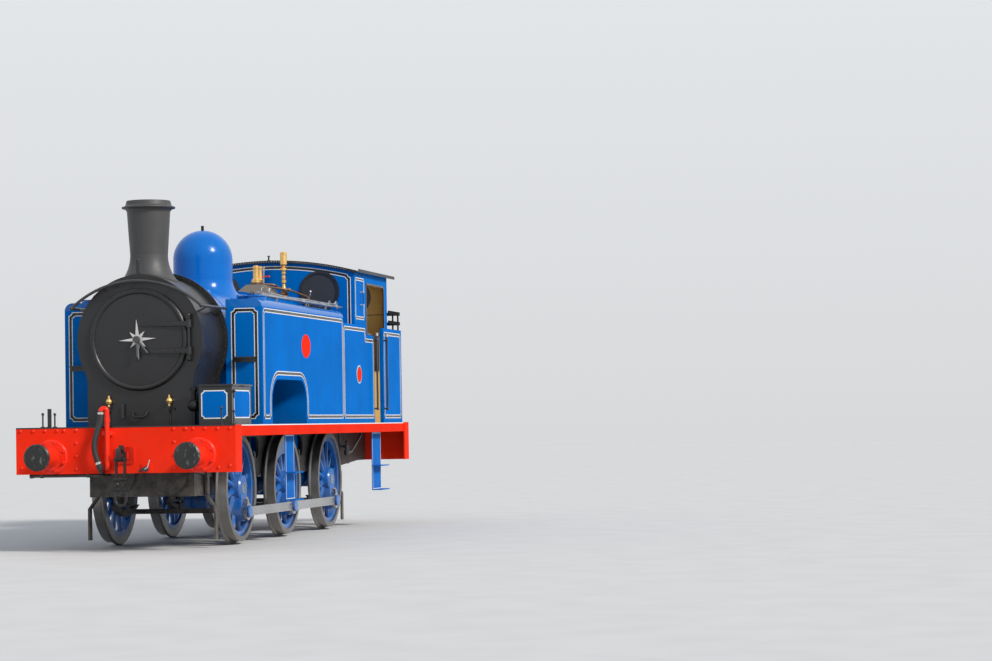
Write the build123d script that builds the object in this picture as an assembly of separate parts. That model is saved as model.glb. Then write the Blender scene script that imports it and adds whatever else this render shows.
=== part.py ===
from build123d import *
import math
import os

# Six-coupled side tank steam locomotive, in millimetres.
# +X points forward, +Y to its left, +Z up. The flange tips stand on z = 0.
# Heights are written above the rail head and raised by the flange depth.

# Wheels, tyres and axles
tread_radius = 638
flange_depth = 28
tyre_width = 140
tyre_thickness = 70
back_to_back = 1360
wheel_rim_depth = 52
wheel_rim_width = 110
hub_radius = 160
hub_width = 165
axle_radius = 90
spoke_count = 12
crank_throw = 280
crank_pin_radius = 55
crank_boss_radius = 115
inside_crank_throw = 300
journal_clearance = 0.5
seat_clearance = 0.2
moving_gap = 5

# Axle places along the locomotive, from the front beam's face
leading_axle_back = 1825
driving_axle_back = 3895
trailing_axle_back = 6049

# Length over the beams, and the buffers
beam_length = 8800
buffer_reach = 488
buffer_spacing = 1740
buffer_height = 1054
buffer_head_radius = 152
buffer_boss_radius = 197

# Drawhook and screw coupling, heights from the hook's shank
hook_reach = 165
hook_outer_radius = 95
hook_throat_radius = 42
hook_thickness = 50
link_side = 50
link_top = -45
link_width = 46
link_thickness = 22
trunnion_high = -270
trunnion_low = -380
lever_reach = 120
bow_bottom = -560

# Beams and running plate
footplate_height = 1386
footplate_thickness = 12
footplate_half_width = 1270
beam_thickness = 32
beam_bottom = 859
beam_return_length = 250
beam_return_thickness = 20
beam_half_width = footplate_half_width + beam_return_thickness
valence_depth = 115
valence_thickness = 15

# Posts on the running plate: place from the beam face, side, height
post_table = [(100, -1005, 1540), (100, -862, 1537), (100, 1100, 1580), (250, 1200, 1540)]
post_radius = 9
post_ball_radius = 17
lamp_iron_back = 120
lamp_iron_side = -930
lamp_iron_width = 44
lamp_iron_height = 1600

# Frames
frame_gap = 1250
frame_thickness = 28
frame_bottom = 460
frame_waist = 760
axlebox_width = 220
axlebox_height = 300
axlebox_depth = 110
stretcher_thickness = 25
keep_thickness = 30
spring_pillar_radius = 20
guard_iron_reach = 860
guard_iron_width = 90
guard_iron_thickness = 22
guard_iron_bend = 560
guard_iron_bend_drop = 130
guard_iron_tip = 70
spring_half_lengths = (430, 380, 320, 260, 200, 140)
leaf_thickness = 13
leaf_width = 76

# Smokebox and door
smokebox_front_back = 562
smokebox_length = 838
smokebox_radius = 748
smokebox_wall = 13
smokebox_half_base = 630
smokebox_waist_radius = 500
boiler_height = 2378
door_radius = 584
door_opening_radius = 530
door_depth = 62
door_rim_width = 60
door_rim_step = 30
door_hinge_side = 600
door_hinge_reach = 45
hinge_pin_radius = 16
strap_heights = (2240, 2550)
strap_tip_side = 70
strap_tip_radius = 19
strap_half_width = 27
blast_flange_radius = 150
blast_tip_radius = 60
blast_tip_drop = 60

# Boiler, firebox and tanks
boiler_radius = 700
firebox_radius = 730
band_places = (2100, 3950)
firebox_front_back = 4460
firebox_rear_back = 6450
tank_front_back = 1425
tank_rear_back = 5339
tank_half_width = 1210
tank_inner_side = 770
tank_top = 2859
tank_edge_radius = 95
side_panel_top = 2705
arch_front_back = 1840
arch_rear_back = 3410
arch_top = 1920
arch_corner_radius = 280
filler_back = 1850
filler_radius = 150
filler_height = 55
filler_wall = 14
lid_thickness = 10
tank_step_table = [(1, 2178), (-1, 2111)]
tank_step_inset = 80
tank_step_width = 258
tank_step_depth = 60
tank_step_reach = 90
lid_pin_radius = 8
lid_ear_inset = 42

# Chimney, dome and brass columns
chimney_back = 950
chimney_top = 4000
chimney_bore = 165
chimney_foot_radius = 330
chimney_foot_drop = 60
chimney_foot_depth = 130
chimney_flange_thickness = 14
chimney_neck_radius = 218
chimney_neck_height = 3370
chimney_shoulder_radius = 250
cap_height = 140
cap_cove = 50
cap_rim_depth = 22
cap_upper_cove = 38
cap_lip_radius = 254
dome_back = 3070
dome_radius = 366
dome_top = 3800
valve_back = 5540
valve_top = 3496
valve_pad_height = 3240
valve_pad_spread = 100
valve_base_radius = 83
valve_base_height = 66
valve_column_radius = 39
valve_column_spacing = 170
whistle_back = 5950
whistle_side = 245
whistle_top = 3700
whistle_bell_radius = 46
whistle_bell_length = 169

# Oil cups on the smokebox front
cup_side = 360
cup_height = 1672
cup_radius = 38
cup_reach = 50

# Cab and bunker
cab_front_back = 6128
cab_rear_back = 8056
cab_inset = 40
cab_half_width = tank_half_width - cab_inset
cab_sheet = 15
cab_panel = 55
cab_corner_height = 3430
cab_crown_height = 3587
roof_thickness = 12
roof_front_back = 6095
roof_rear_back = 8300
roof_overhang = 60
spectacle_radius = 250
spectacle_side = 691
spectacle_height = 3164
rim_width = 28
rim_thickness = 14
glass_thickness = 8
window_front_back = 6800
window_rear_back = 7880
window_top = 3300
window_bottom = 2590
doorway_front_back = 7066
doorway_rear_back = 7600
bunker_rear_back = 8750
bunker_wall = 12
bunker_front_top = 2100
coal_rail_heights = (2780, 2920)
coal_rail_size = 48

# Coupling rods
rod_thickness = 55
rod_depth = 110
rod_eye_radius = 105

# Grips on the cab's side sheets
grip_back = 6460
grip_bottom = 2970
grip_length = 200
grip_reach = 50

# Upright rails beside the doorways
entry_rail_inset = 35
entry_rail_reach = 50
entry_rail_bottom = 1560
entry_rail_top = 2620
entry_rail_pillar_drop = 90
entry_rail_cap_radius = 20

# Brake gear
block_gap = 9
block_width = 80
hanger_thickness = 22

# Footplate box
box_front_back = 360
box_rear_back = 1130
box_width = 390
box_edge_gap = 120
box_outer_side = footplate_half_width - box_edge_gap
box_inner_side = box_outer_side - box_width
box_top = 1820
box_wall = 12
box_pin_inset = 12
box_pin_radius = 6
box_lid_thickness = 22
box_lid_lip = 14

# Globe lubricator beside the box
globe_radius = 72
globe_clearance = 16
globe_reach = 110
globe_height = 1610
globe_top = 1820

# Steps: name, middle from the beam face, width
step_table = [("front", 2770, 390), ("cab", 7330, 500)]
step_inset = 110
step_plate_side = footplate_half_width - step_inset
step_plate_thickness = 12
step_reach = 120
step_bottom = 460

# Values worked out from the sizes above
front_x = beam_length / 2


def back(distance):
    """Place along X of something that lies this far behind the front beam's face."""
    return front_x - distance


def above_rail(height):
    return height + flange_depth


axle_z = above_rail(tread_radius)
boiler_z = above_rail(boiler_height)
footplate_top = above_rail(footplate_height)
footplate_under = footplate_top - footplate_thickness
wheel_inner_y = back_to_back / 2
tyre_outer_y = wheel_inner_y + tyre_width
tyre_bore = tread_radius - tyre_thickness
hub_outer_y = wheel_inner_y + hub_width
frame_inner_y = frame_gap / 2
frame_outer_y = frame_inner_y + frame_thickness
spring_y = frame_inner_y + frame_thickness / 2 - 10
rod_inner_y = hub_outer_y + moving_gap
rod_outer_y = rod_inner_y + rod_thickness
smokebox_front_x = back(smokebox_front_back)
smokebox_rear_x = smokebox_front_x - smokebox_length
axle_table = [
    ("leading", back(leading_axle_back)),
    ("driving", back(driving_axle_back)),
    ("trailing", back(trailing_axle_back)),
]
sides = (1, -1)


def along_y(sketch, y_low, depth):
    """Extrude an (x, z) outline towards +Y from y_low."""
    return extrude(Plane.XZ.offset(-y_low) * sketch, amount=-depth)


def along_x(sketch, x_low, depth):
    """Extrude a (y, z) outline towards +X from x_low."""
    return extrude(Plane.YZ.offset(x_low) * sketch, amount=depth)


def along_z(sketch, z_low, depth):
    return extrude(Plane.XY.offset(z_low) * sketch, amount=depth)


def block(x_low, x_high, y_low, y_high, z_low, z_high):
    size = (x_high - x_low, y_high - y_low, z_high - z_low)
    middle = ((x_low + x_high) / 2, (y_low + y_high) / 2, (z_low + z_high) / 2)
    return Pos(*middle) * Box(*size)


def bar_x(x_low, x_high, y, z, radius):
    return along_x(Pos(y, z) * Circle(radius), x_low, x_high - x_low)


def bar_y(y_low, y_high, x, z, radius):
    return along_y(Pos(x, z) * Circle(radius), y_low, y_high - y_low)


def bar_z(z_low, z_high, x, y, radius):
    return along_z(Pos(x, y) * Circle(radius), z_low, z_high - z_low)


def bar_between(start, end, radius):
    path = Line(start, end)
    return sweep(Plane(origin=start, z_dir=path % 0) * Circle(radius), path=path)


def polygon(points):
    return make_face(Polyline(*points, close=True))


def turned(points):
    """Turn an (r, z) outline about the vertical axis."""
    return revolve(Plane.XZ * polygon(points), Axis.Z)


def turned_y(points):
    """Turn a (y, r) outline about the Y axis."""
    return revolve(Plane.YZ * polygon(points), Axis.Y)


def turned_x(points):
    """Turn an (x, r) outline about the X axis."""
    return revolve(Plane.XZ * polygon(points), Axis.X)


def turned_edges(edges):
    """Turn an (r, z) outline made of lines and arcs about the vertical axis."""
    return revolve(Plane.XZ * make_face(edges), Axis.Z)


def mirrored(shape):
    return mirror(shape, about=Plane.XZ)


def both_sides(shape):
    return [shape, mirrored(shape)]


def join(parts):
    result = parts[0]
    for piece in parts[1:]:
        result = result + piece
    return result


# Wheelsets


def spoke(angle):
    """One spoke with a six-sided section that tapers from the hub to the rim."""
    middle_y = wheel_inner_y + wheel_rim_width / 2
    rim_inner = tyre_bore - wheel_rim_depth
    # radius, half width, half thickness
    section_table = [(hub_radius - 12, 34, 36), (rim_inner + 10, 24, 24)]
    sections = []
    for radius, half_width, half_thickness in section_table:
        outline = Polygon(
            (half_width, 0),
            (half_width * 0.55, half_thickness),
            (-half_width * 0.55, half_thickness),
            (-half_width, 0),
            (-half_width * 0.55, -half_thickness),
            (half_width * 0.55, -half_thickness),
            align=None,
        )
        sections.append(Plane.XY.offset(radius) * Pos(0, middle_y) * outline)
    return Rot(0, angle, 0) * loft(sections, ruled=True)


def wheel_centre(balance_weight):
    """Spoked wheel on the left side, its crank straight down, its hub bored for the axle."""
    rim_inner = tyre_bore - wheel_rim_depth
    rim_outer_y = wheel_inner_y + wheel_rim_width
    rim = turned_y([
        (wheel_inner_y, rim_inner),
        (rim_outer_y, rim_inner),
        (rim_outer_y, tyre_bore),
        (wheel_inner_y, tyre_bore),
    ])
    hub = turned_y([
        (wheel_inner_y, 0),
        (hub_outer_y, 0),
        (hub_outer_y, hub_radius - 14),
        (hub_outer_y - 20, hub_radius),
        (wheel_inner_y, hub_radius),
    ])
    pin_z = -crank_throw
    boss = bar_y(wheel_inner_y + 30, hub_outer_y, 0, pin_z, crank_boss_radius)
    web = along_y(
        Pos(0, pin_z / 2) * Rectangle(2 * crank_boss_radius, crank_throw),
        wheel_inner_y + 30,
        hub_outer_y - wheel_inner_y - 30,
    )
    pin = bar_y(hub_outer_y - 10, rod_outer_y + moving_gap, 0, pin_z, crank_pin_radius)
    collar = bar_y(rod_outer_y + moving_gap, rod_outer_y + moving_gap + 22, 0, pin_z, 72)
    parts = [rim, hub, boss, web, pin, collar]
    for index in range(spoke_count):
        parts.append(spoke(360 / spoke_count * (index + 0.5)))
    if balance_weight:
        crescent = Circle(rim_inner + 5) - Pos(0, -260) * Circle(rim_inner + 120)
        parts.append(along_y(crescent, wheel_inner_y + 20, wheel_rim_width - 35))
    bore_radius = axle_radius + seat_clearance
    bore = bar_y(wheel_inner_y - 10, hub_outer_y + 10, 0, 0, bore_radius)
    return join(parts) - bore


def tyre():
    flange_radius = tread_radius + flange_depth
    outline = [
        (wheel_inner_y, tyre_bore + seat_clearance),
        (tyre_outer_y, tyre_bore + seat_clearance),
        (tyre_outer_y, tread_radius - 8),
        (wheel_inner_y + 42, tread_radius),
        (wheel_inner_y + 26, flange_radius),
        (wheel_inner_y + 12, flange_radius),
        (wheel_inner_y, flange_radius - 16),
    ]
    return turned_y(outline)


def inside_cranks():
    """Webs and pins of the crank axle between the frames, a quarter turn apart."""
    web_thickness = 95
    pin_width = 110
    middle_y = 300
    parts = []
    for side, angle in ((1, 45), (-1, 135)):
        for offset in (-1, 1):
            y_middle = side * middle_y + offset * (pin_width + web_thickness) / 2
            outline = Pos(0, inside_crank_throw / 2) * SlotCenterToCenter(
                inside_crank_throw, 230, rotation=90
            )
            web = along_y(outline, y_middle - web_thickness / 2, web_thickness)
            parts.append(Rot(0, angle, 0) * web)
        pin = bar_y(
            side * middle_y - pin_width / 2 - 5,
            side * middle_y + pin_width / 2 + 5,
            0,
            inside_crank_throw,
            95,
        )
        parts.append(Rot(0, angle, 0) * pin)
    return join(parts)


def wheelset(name, x):
    """Two wheels pressed on an axle, and their tyres."""
    left = wheel_centre(name == "driving")
    # The right crank leads the left one by a quarter turn.
    right = Rot(0, -90, 0) * mirrored(left)
    axle = bar_y(-hub_outer_y - 3, hub_outer_y + 3, 0, 0, axle_radius)
    if name == "driving":
        axle = axle + inside_cranks()
    place = Pos(x, 0, axle_z)
    wheels = Compound(children=[place * left, place * right, place * axle])
    tyres = Compound(children=[place * shape for shape in both_sides(tyre())])
    return wheels, tyres


# Coupling rods


def coupling_rod(side):
    """One rod over three crank pins, with an oil box on each eye."""
    pin_offset = (0, -crank_throw) if side > 0 else (crank_throw, 0)
    xs = [x for name, x in axle_table]
    low, middle, high = xs[2], xs[1], xs[0]
    beam = Pos((low + high) / 2, 0) * Rectangle(high - low, rod_depth)
    outline = beam
    for x in xs:
        outline = outline + Pos(x, 0) * Circle(rod_eye_radius)
    outline = outline + Pos(middle - 230, 0) * Circle(rod_depth * 0.62)
    rod = along_y(outline, rod_inner_y, rod_thickness)
    flute_depth = 12
    for x_low, x_high in ((low, middle - 230), (middle, high)):
        length = x_high - x_low - 2 * rod_eye_radius - 60
        flute = Pos((x_low + x_high) / 2, 0) * RectangleRounded(length, rod_depth - 44, 20)
        rod = rod - along_y(flute, rod_outer_y - flute_depth, flute_depth + 5)
    for x in xs:
        oil_box = block(x - 30, x + 30, rod_inner_y + 10, rod_outer_y - 5, 90, 150)
        rod = rod + oil_box
        bore_radius = crank_pin_radius + journal_clearance
        rod = rod - bar_y(rod_inner_y - 10, rod_outer_y + 10, x, 0, bore_radius)
    if side < 0:
        rod = mirrored(rod)
    return Pos(pin_offset[0], 0, axle_z + pin_offset[1]) * rod


# Frames and beams


def guard_iron(x):
    """Bar on the frame's outer face that bends outwards to end over the rail."""
    top = above_rail(beam_bottom) + 120
    bend_high = above_rail(guard_iron_bend)
    bend_low = bend_high - guard_iron_bend_drop
    tip = above_rail(guard_iron_tip)
    inner = frame_outer_y - 2
    outer = frame_outer_y + guard_iron_thickness
    over_rail = wheel_inner_y + tyre_width / 2
    outline = polygon([
        (inner, top),
        (outer, top),
        (outer, bend_high + 5),
        (over_rail + guard_iron_thickness, bend_low + 5),
        (over_rail + guard_iron_thickness, tip),
        (over_rail, tip),
        (over_rail, bend_low),
        (inner, bend_high),
    ])
    return along_x(outline, x - guard_iron_width / 2, guard_iron_width)


def frames():
    """Two plate frames with horn gaps, stretchers between them and guard irons at the ends."""
    x_front = front_x - beam_thickness
    x_rear = -x_front
    bottom = above_rail(frame_bottom)
    waist = above_rail(frame_waist)
    beam_low = above_rail(beam_bottom)
    top = footplate_under
    horn_half = 330
    points = [(x_front, top), (x_front, beam_low), (x_front - 500, beam_low)]
    for name, x in axle_table:
        points.append((x + horn_half + 160, waist))
        points.append((x + horn_half, bottom))
        points.append((x - horn_half, bottom))
        points.append((x - horn_half - 160, waist))
    points.append((x_rear + 500, beam_low))
    points.append((x_rear, beam_low))
    points.append((x_rear, top))
    outline = polygon(points)
    for name, x in axle_table:
        gap = Pos(x, axle_z - 200) * Rectangle(axlebox_width + 1, axlebox_height + 400)
        outline = outline - gap
    leading, driving, trailing = [x for name, x in axle_table]
    for x in ((leading + driving) / 2, (driving + trailing) / 2):
        outline = outline - Pos(x, (waist + top) / 2 + 40) * RectangleRounded(620, 260, 110)
    plate = along_y(outline, frame_inner_y, frame_thickness)
    for name, x in axle_table:
        keep = block(
            x - horn_half,
            x + horn_half,
            frame_inner_y - 16,
            frame_outer_y + 16,
            bottom - keep_thickness,
            bottom,
        )
        pillar_hole = bar_z(bottom - 50, bottom + 10, x, spring_y, spring_pillar_radius + 2)
        plate = plate + keep - pillar_hole
    for x in (leading + guard_iron_reach, trailing - guard_iron_reach):
        plate = plate + guard_iron(x)
    parts = both_sides(plate)
    # place from the beam face, lowest z, highest z
    stretcher_table = [
        (1500, waist + 60, top - 20),
        (2900, waist + 60, top - 120),
        (6800, waist, top - 20),
        (7900, waist + 60, top - 20),
    ]
    for distance, z_low, z_high in stretcher_table:
        x = back(distance)
        stretcher = block(
            x,
            x + stretcher_thickness,
            -frame_inner_y,
            frame_inner_y,
            z_low,
            z_high,
        )
        parts.append(stretcher)
    return join(parts)


def laminated_spring():
    """Leaf pack under the keep, hung from its axlebox by a round pillar."""
    bend_radius = 2100
    keep_low = above_rail(frame_bottom) - keep_thickness - axle_z
    top_z = keep_low - 30
    parts = []
    for index, half_length in enumerate(spring_half_lengths):
        outer = bend_radius + index * leaf_thickness
        middle_z = top_z + bend_radius
        ring = Circle(outer + leaf_thickness) - Circle(outer)
        window = Pos(0, -bend_radius) * Rectangle(2 * half_length, 400)
        leaf = Pos(0, middle_z) * (ring & window)
        parts.append(along_y(leaf, -leaf_width / 2, leaf_width))
    pack = len(spring_half_lengths) * leaf_thickness
    half = leaf_width / 2 + 9
    parts.append(block(-45, 45, -half, half, top_z - pack - 10, top_z + 12))
    pillar_top = -axlebox_height / 2 + 5
    parts.append(bar_z(top_z, pillar_top, 0, 0, spring_pillar_radius))
    return join(parts)


def axleboxes():
    """Six boxes in the horn gaps, each with its spring."""
    boxes = []
    y_middle = frame_inner_y + frame_thickness / 2
    spring = Pos(0, spring_y - y_middle, 0) * laminated_spring()
    for name, x in axle_table:
        body = block(
            -axlebox_width / 2,
            axlebox_width / 2,
            -axlebox_depth / 2,
            axlebox_depth / 2 - 25,
            -axlebox_height / 2,
            axlebox_height / 2,
        )
        box = body + spring
        box = box - bar_y(-200, 200, 0, 0, axle_radius + journal_clearance)
        placed = Pos(x, y_middle, axle_z) * box
        boxes.extend(both_sides(placed))
    return Compound(children=boxes)


def beam(side):
    """Buffer beam: side is 1 for the front and -1 for the rear."""
    x_outer = side * front_x
    x_inner = side * (front_x - beam_thickness)
    bottom = above_rail(beam_bottom)
    plate = block(
        min(x_outer, x_inner),
        max(x_outer, x_inner),
        -beam_half_width,
        beam_half_width,
        bottom,
        footplate_top,
    )
    x_return = side * (front_x - beam_return_length)
    return_plate = block(
        min(x_inner, x_return),
        max(x_inner, x_return),
        footplate_half_width,
        footplate_half_width + beam_return_thickness,
        bottom,
        footplate_top,
    )
    return join([plate] + both_sides(return_plate))


def buffer_stock():
    """Boss, bolted flange and tapered stock, standing on a beam at x = 0."""
    return turned_x([
        (0, 0),
        (0, buffer_boss_radius),
        (22, buffer_boss_radius),
        (34, buffer_boss_radius - 16),
        (34, 150),
        (58, 150),
        (58, 112),
        (buffer_reach - 175, 98),
        (buffer_reach - 150, 104),
        (buffer_reach - 125, 104),
        (buffer_reach - 125, 0),
    ])


def buffer_head():
    """Round head with a flat face and its plunger."""
    return turned_x([
        (buffer_reach - 125, 0),
        (buffer_reach - 125, 62),
        (buffer_reach - 62, 62),
        (buffer_reach - 40, buffer_head_radius - 10),
        (buffer_reach - 28, buffer_head_radius),
        (buffer_reach - 12, buffer_head_radius),
        (buffer_reach, buffer_head_radius - 16),
        (buffer_reach, 0),
    ])


def at_buffers(shape):
    placed = []
    for turn in (0, 180):
        for side in sides:
            spot = Pos(front_x, side * buffer_spacing / 2, above_rail(buffer_height))
            if turn == 180:
                spot = Pos(-front_x, side * buffer_spacing / 2, above_rail(buffer_height))
            placed.append(spot * Rot(0, 0, turn) * shape)
    return Compound(children=placed)


def drawhook():
    """Hook on its shank, standing ahead of a beam at x = 0, its throat upwards."""
    ring = Circle(hook_outer_radius) - Circle(hook_throat_radius)
    side = hook_outer_radius - 5
    gap = Pos(side / 3, side / 2 + 15) * Rectangle(side, side)
    nose_reach = (hook_outer_radius + hook_throat_radius) / 2
    nose = Pos(nose_reach, 15) * Circle((hook_outer_radius - hook_throat_radius) / 2)
    outline = Pos(hook_reach, 20) * ((ring - gap) + nose)
    hook = along_y(outline, -hook_thickness / 2, hook_thickness)
    shank = block(0, hook_reach - hook_throat_radius - 20, -35, 35, -40, 40)
    plate = along_x(RectangleRounded(220, 190, 24), 0, 16)
    return plate + shank + hook


def screw_coupling():
    """Side links, trunnions, screw with its weighted lever, and the bow, hanging from the hook."""
    x = hook_reach
    parts = [bar_y(-link_side - 22, link_side + 22, x, link_top, 20)]
    for side in sides:
        link = Pos(x, (link_top + trunnion_high) / 2) * SlotCenterToCenter(
            link_top - trunnion_high, link_width, rotation=90
        )
        middle = side * link_side
        parts.append(along_y(link, middle - link_thickness / 2, link_thickness))
    for z in (trunnion_high, trunnion_low):
        parts.append(bar_y(-link_side - 30, link_side + 30, x, z, 26))
    parts.append(bar_z(trunnion_low - 40, trunnion_high + 20, x, 0, 22))
    lever_z = (trunnion_high + trunnion_low) / 2
    parts.append(bar_x(x, x + lever_reach, 0, lever_z, 11))
    parts.append(Pos(x + lever_reach, 0, lever_z) * Sphere(30))
    bow_side = link_side + 12
    bow_path = FilletPolyline(
        (x, -bow_side, trunnion_low),
        (x, -bow_side, bow_bottom),
        (x, bow_side, bow_bottom),
        (x, bow_side, trunnion_low),
        radius=0.95 * bow_side,
    )
    section = Plane(origin=bow_path @ 0, z_dir=bow_path % 0) * Circle(16)
    parts.append(sweep(section, path=bow_path))
    return join(parts)


def drawgear_end():
    return drawhook() + screw_coupling()


def drawgear():
    z = above_rail(buffer_height) + 10
    front = Pos(front_x, 0, z) * drawgear_end()
    rear = Pos(-front_x, 0, z) * Rot(0, 0, 180) * drawgear_end()
    return Compound(children=[front, rear])


# Running plate


def footplate():
    x_end = front_x - beam_thickness
    plate = along_z(
        Rectangle(2 * x_end, 2 * footplate_half_width),
        footplate_under,
        footplate_thickness,
    )
    opening_front = smokebox_rear_x - 60
    opening_rear = back(firebox_rear_back) + 40
    opening = block(
        opening_rear,
        opening_front,
        -frame_inner_y + 20,
        frame_inner_y - 20,
        footplate_under - 10,
        footplate_top + 10,
    )
    return plate - opening


def lamp_irons():
    """Ball-topped posts and one flat lamp iron, standing near the front of the running plate."""
    irons = []
    for distance, y, height in post_table:
        top = above_rail(height)
        post = bar_z(footplate_top, top, back(distance), y, post_radius)
        foot = bar_z(footplate_top, footplate_top + 12, back(distance), y, 3 * post_radius)
        ball = Pos(back(distance), y, top) * Sphere(post_ball_radius)
        irons.append(post + foot + ball)
    x = back(lamp_iron_back)
    half = lamp_iron_width / 2
    flat = block(
        x,
        x + 12,
        lamp_iron_side - half,
        lamp_iron_side + half,
        footplate_top,
        above_rail(lamp_iron_height),
    )
    foot = block(
        x, x + 60, lamp_iron_side - half, lamp_iron_side + half, footplate_top, footplate_top + 12
    )
    irons.append(flat + foot)
    return Compound(children=irons)


def valences():
    length = beam_length - 2 * beam_return_length
    left = block(
        -length / 2,
        length / 2,
        footplate_half_width - valence_thickness,
        footplate_half_width,
        footplate_under - valence_depth,
        footplate_under,
    )
    return Compound(children=both_sides(left))


def cylinder_block():
    """Both inside cylinders as one plain mass between the frames."""
    block_length = 760
    x_front = smokebox_front_x - 20
    body = block(
        x_front - block_length,
        x_front,
        -frame_inner_y,
        frame_inner_y,
        axle_z - 60,
        footplate_under,
    )
    covers = []
    for side in sides:
        covers.append(bar_x(x_front, x_front + 40, side * 310, axle_z + 190, 240))
    return join([body] + covers)


def footsteps():
    steps = []
    for name, distance, width in step_table:
        x = back(distance)
        plate = block(
            x - width / 2,
            x + width / 2,
            step_plate_side - step_plate_thickness,
            step_plate_side,
            above_rail(step_bottom),
            footplate_under,
        )
        parts = [plate]
        for z in (above_rail(step_bottom), above_rail(step_bottom) + 330):
            tread = block(
                x - width / 2,
                x + width / 2,
                step_plate_side - 5,
                step_plate_side + step_reach,
                z,
                z + 14,
            )
            parts.append(tread)
        steps.extend(both_sides(join(parts)))
    return Compound(children=steps)


# Smokebox end


def smokebox_outline(grow):
    radius = smokebox_radius + grow
    half = smokebox_half_base + grow
    base = Pos(0, (footplate_top + boiler_z) / 2) * Rectangle(
        2 * half, boiler_z - footplate_top
    )
    outline = Pos(0, boiler_z) * Circle(radius) + base
    corners = [v for v in outline.vertices() if boiler_z - radius < v.Y < boiler_z - 150]
    return fillet(corners, smokebox_waist_radius)


def smokebox():
    """Hollow smokebox with its front plate, rear ring and hinge post."""
    outer = along_x(smokebox_outline(0), smokebox_rear_x, smokebox_length)
    front_plate = 25
    tube_plate = 25
    cavity = bar_x(
        smokebox_rear_x + tube_plate,
        smokebox_front_x - front_plate,
        0,
        boiler_z,
        smokebox_radius - smokebox_wall,
    )
    opening = bar_x(
        smokebox_front_x - front_plate - 5,
        smokebox_front_x + 5,
        0,
        boiler_z,
        door_opening_radius,
    )
    ring = along_x(smokebox_outline(60), smokebox_rear_x, 25)
    shell = outer + ring
    shell = shell - cavity - opening
    flue = bar_z(
        boiler_z + smokebox_radius - 200,
        boiler_z + smokebox_radius + 50,
        back(chimney_back),
        0,
        chimney_bore,
    )
    shell = shell - flue
    pin_x = smokebox_front_x + door_hinge_reach
    post = []
    low = above_rail(strap_heights[0])
    high = above_rail(strap_heights[1])
    post.append(bar_z(low - 95, high + 95, pin_x, door_hinge_side, hinge_pin_radius))
    for z in (low - 95, high + 55):
        post.append(block(
            smokebox_front_x - 5,
            pin_x + 20,
            door_hinge_side - 22,
            door_hinge_side + 22,
            z,
            z + 40,
        ))
    return join([shell] + post)


def blast_pipe():
    """Exhaust pipe that stands on the smokebox floor under the chimney."""
    low = boiler_z - smokebox_radius
    flange_top = low + smokebox_wall + 50
    pipe = turned([
        (0, low),
        (blast_flange_radius, low),
        (blast_flange_radius, flange_top),
        (blast_flange_radius * 0.6, flange_top + 30),
        (blast_tip_radius, boiler_z - blast_tip_drop),
        (0, boiler_z - blast_tip_drop),
    ])
    x = back(chimney_back)
    inside = bar_x(
        x - 300, x + 300, 0, boiler_z, smokebox_radius - smokebox_wall - seat_clearance
    )
    return (Pos(x, 0, 0) * pipe) & inside


def smokebox_door():
    """Dished door with a rounded rim, two tapered straps and their knuckles."""
    x_low = smokebox_front_x + moving_gap
    dish_edge = door_radius - door_rim_width
    dish_x = x_low + door_rim_step
    crown_x = x_low + door_depth
    dish_rise = crown_x - dish_x
    dish_radius = (dish_edge ** 2 + dish_rise ** 2) / (2 * dish_rise)
    half_edge = dish_edge / 2
    half_x = crown_x - dish_radius + math.sqrt(dish_radius ** 2 - half_edge ** 2)
    rim_x = x_low + door_depth * 0.8
    outline = make_face([
        Line((x_low, 0), (x_low, door_radius)),
        ThreePointArc(
            (x_low, door_radius), (rim_x, door_radius - door_rim_width / 2), (dish_x, dish_edge)
        ),
        ThreePointArc((dish_x, dish_edge), (half_x, half_edge), (crown_x, 0)),
        Line((crown_x, 0), (x_low, 0)),
    ])
    door = Pos(0, 0, boiler_z) * revolve(Plane.XZ * outline, Axis.X)
    pin_x = smokebox_front_x + door_hinge_reach
    strap_half = strap_half_width
    for height in strap_heights:
        z = above_rail(height)
        strap_outline = polygon([
            (strap_tip_side, z - strap_tip_radius),
            (door_hinge_side - 20, z - strap_half),
            (door_hinge_side - 20, z + strap_half),
            (strap_tip_side, z + strap_tip_radius),
        ]) + Pos(strap_tip_side, z) * Circle(strap_tip_radius)
        strap_depth = door_depth * 0.3 + 14
        strap = along_x(strap_outline, crown_x + 14 - strap_depth, strap_depth)
        knuckle = bar_z(z - 45, z + 45, pin_x, door_hinge_side, hinge_pin_radius + 18)
        arm = block(
            pin_x - 10,
            x_low + door_depth + 14,
            door_hinge_side - 60,
            door_hinge_side,
            z - strap_half,
            z + strap_half,
        )
        door = door + strap + arm + knuckle
        bore_radius = hinge_pin_radius + journal_clearance
        door = door - bar_z(z - 60, z + 60, pin_x, door_hinge_side, bore_radius)
    return door


def door_star():
    """Eight-pointed star with the boss and the two dart handles."""
    x_low = smokebox_front_x + moving_gap + door_depth
    points = []
    for index in range(16):
        if index % 4 == 0:
            radius = 227
        elif index % 4 == 2:
            radius = 125
        else:
            radius = 52
        angle = math.radians(90 - index * 22.5 + 3)
        points.append((radius * math.cos(angle), boiler_z + radius * math.sin(angle)))
    star = along_x(polygon(points), x_low, 14)
    boss = bar_x(x_low, x_low + 70, 0, boiler_z, 38)
    handle_low = bar_between(
        (x_low + 48, 0, boiler_z), (x_low + 60, 12, boiler_z - 205), 13
    )
    handle_side = bar_between(
        (x_low + 30, 0, boiler_z), (x_low + 38, 128, boiler_z - 160), 13
    )
    return star + boss + handle_low + handle_side


def saddle_cut(radius, x_low, x_high):
    return bar_x(x_low, x_high, 0, boiler_z, radius)


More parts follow.
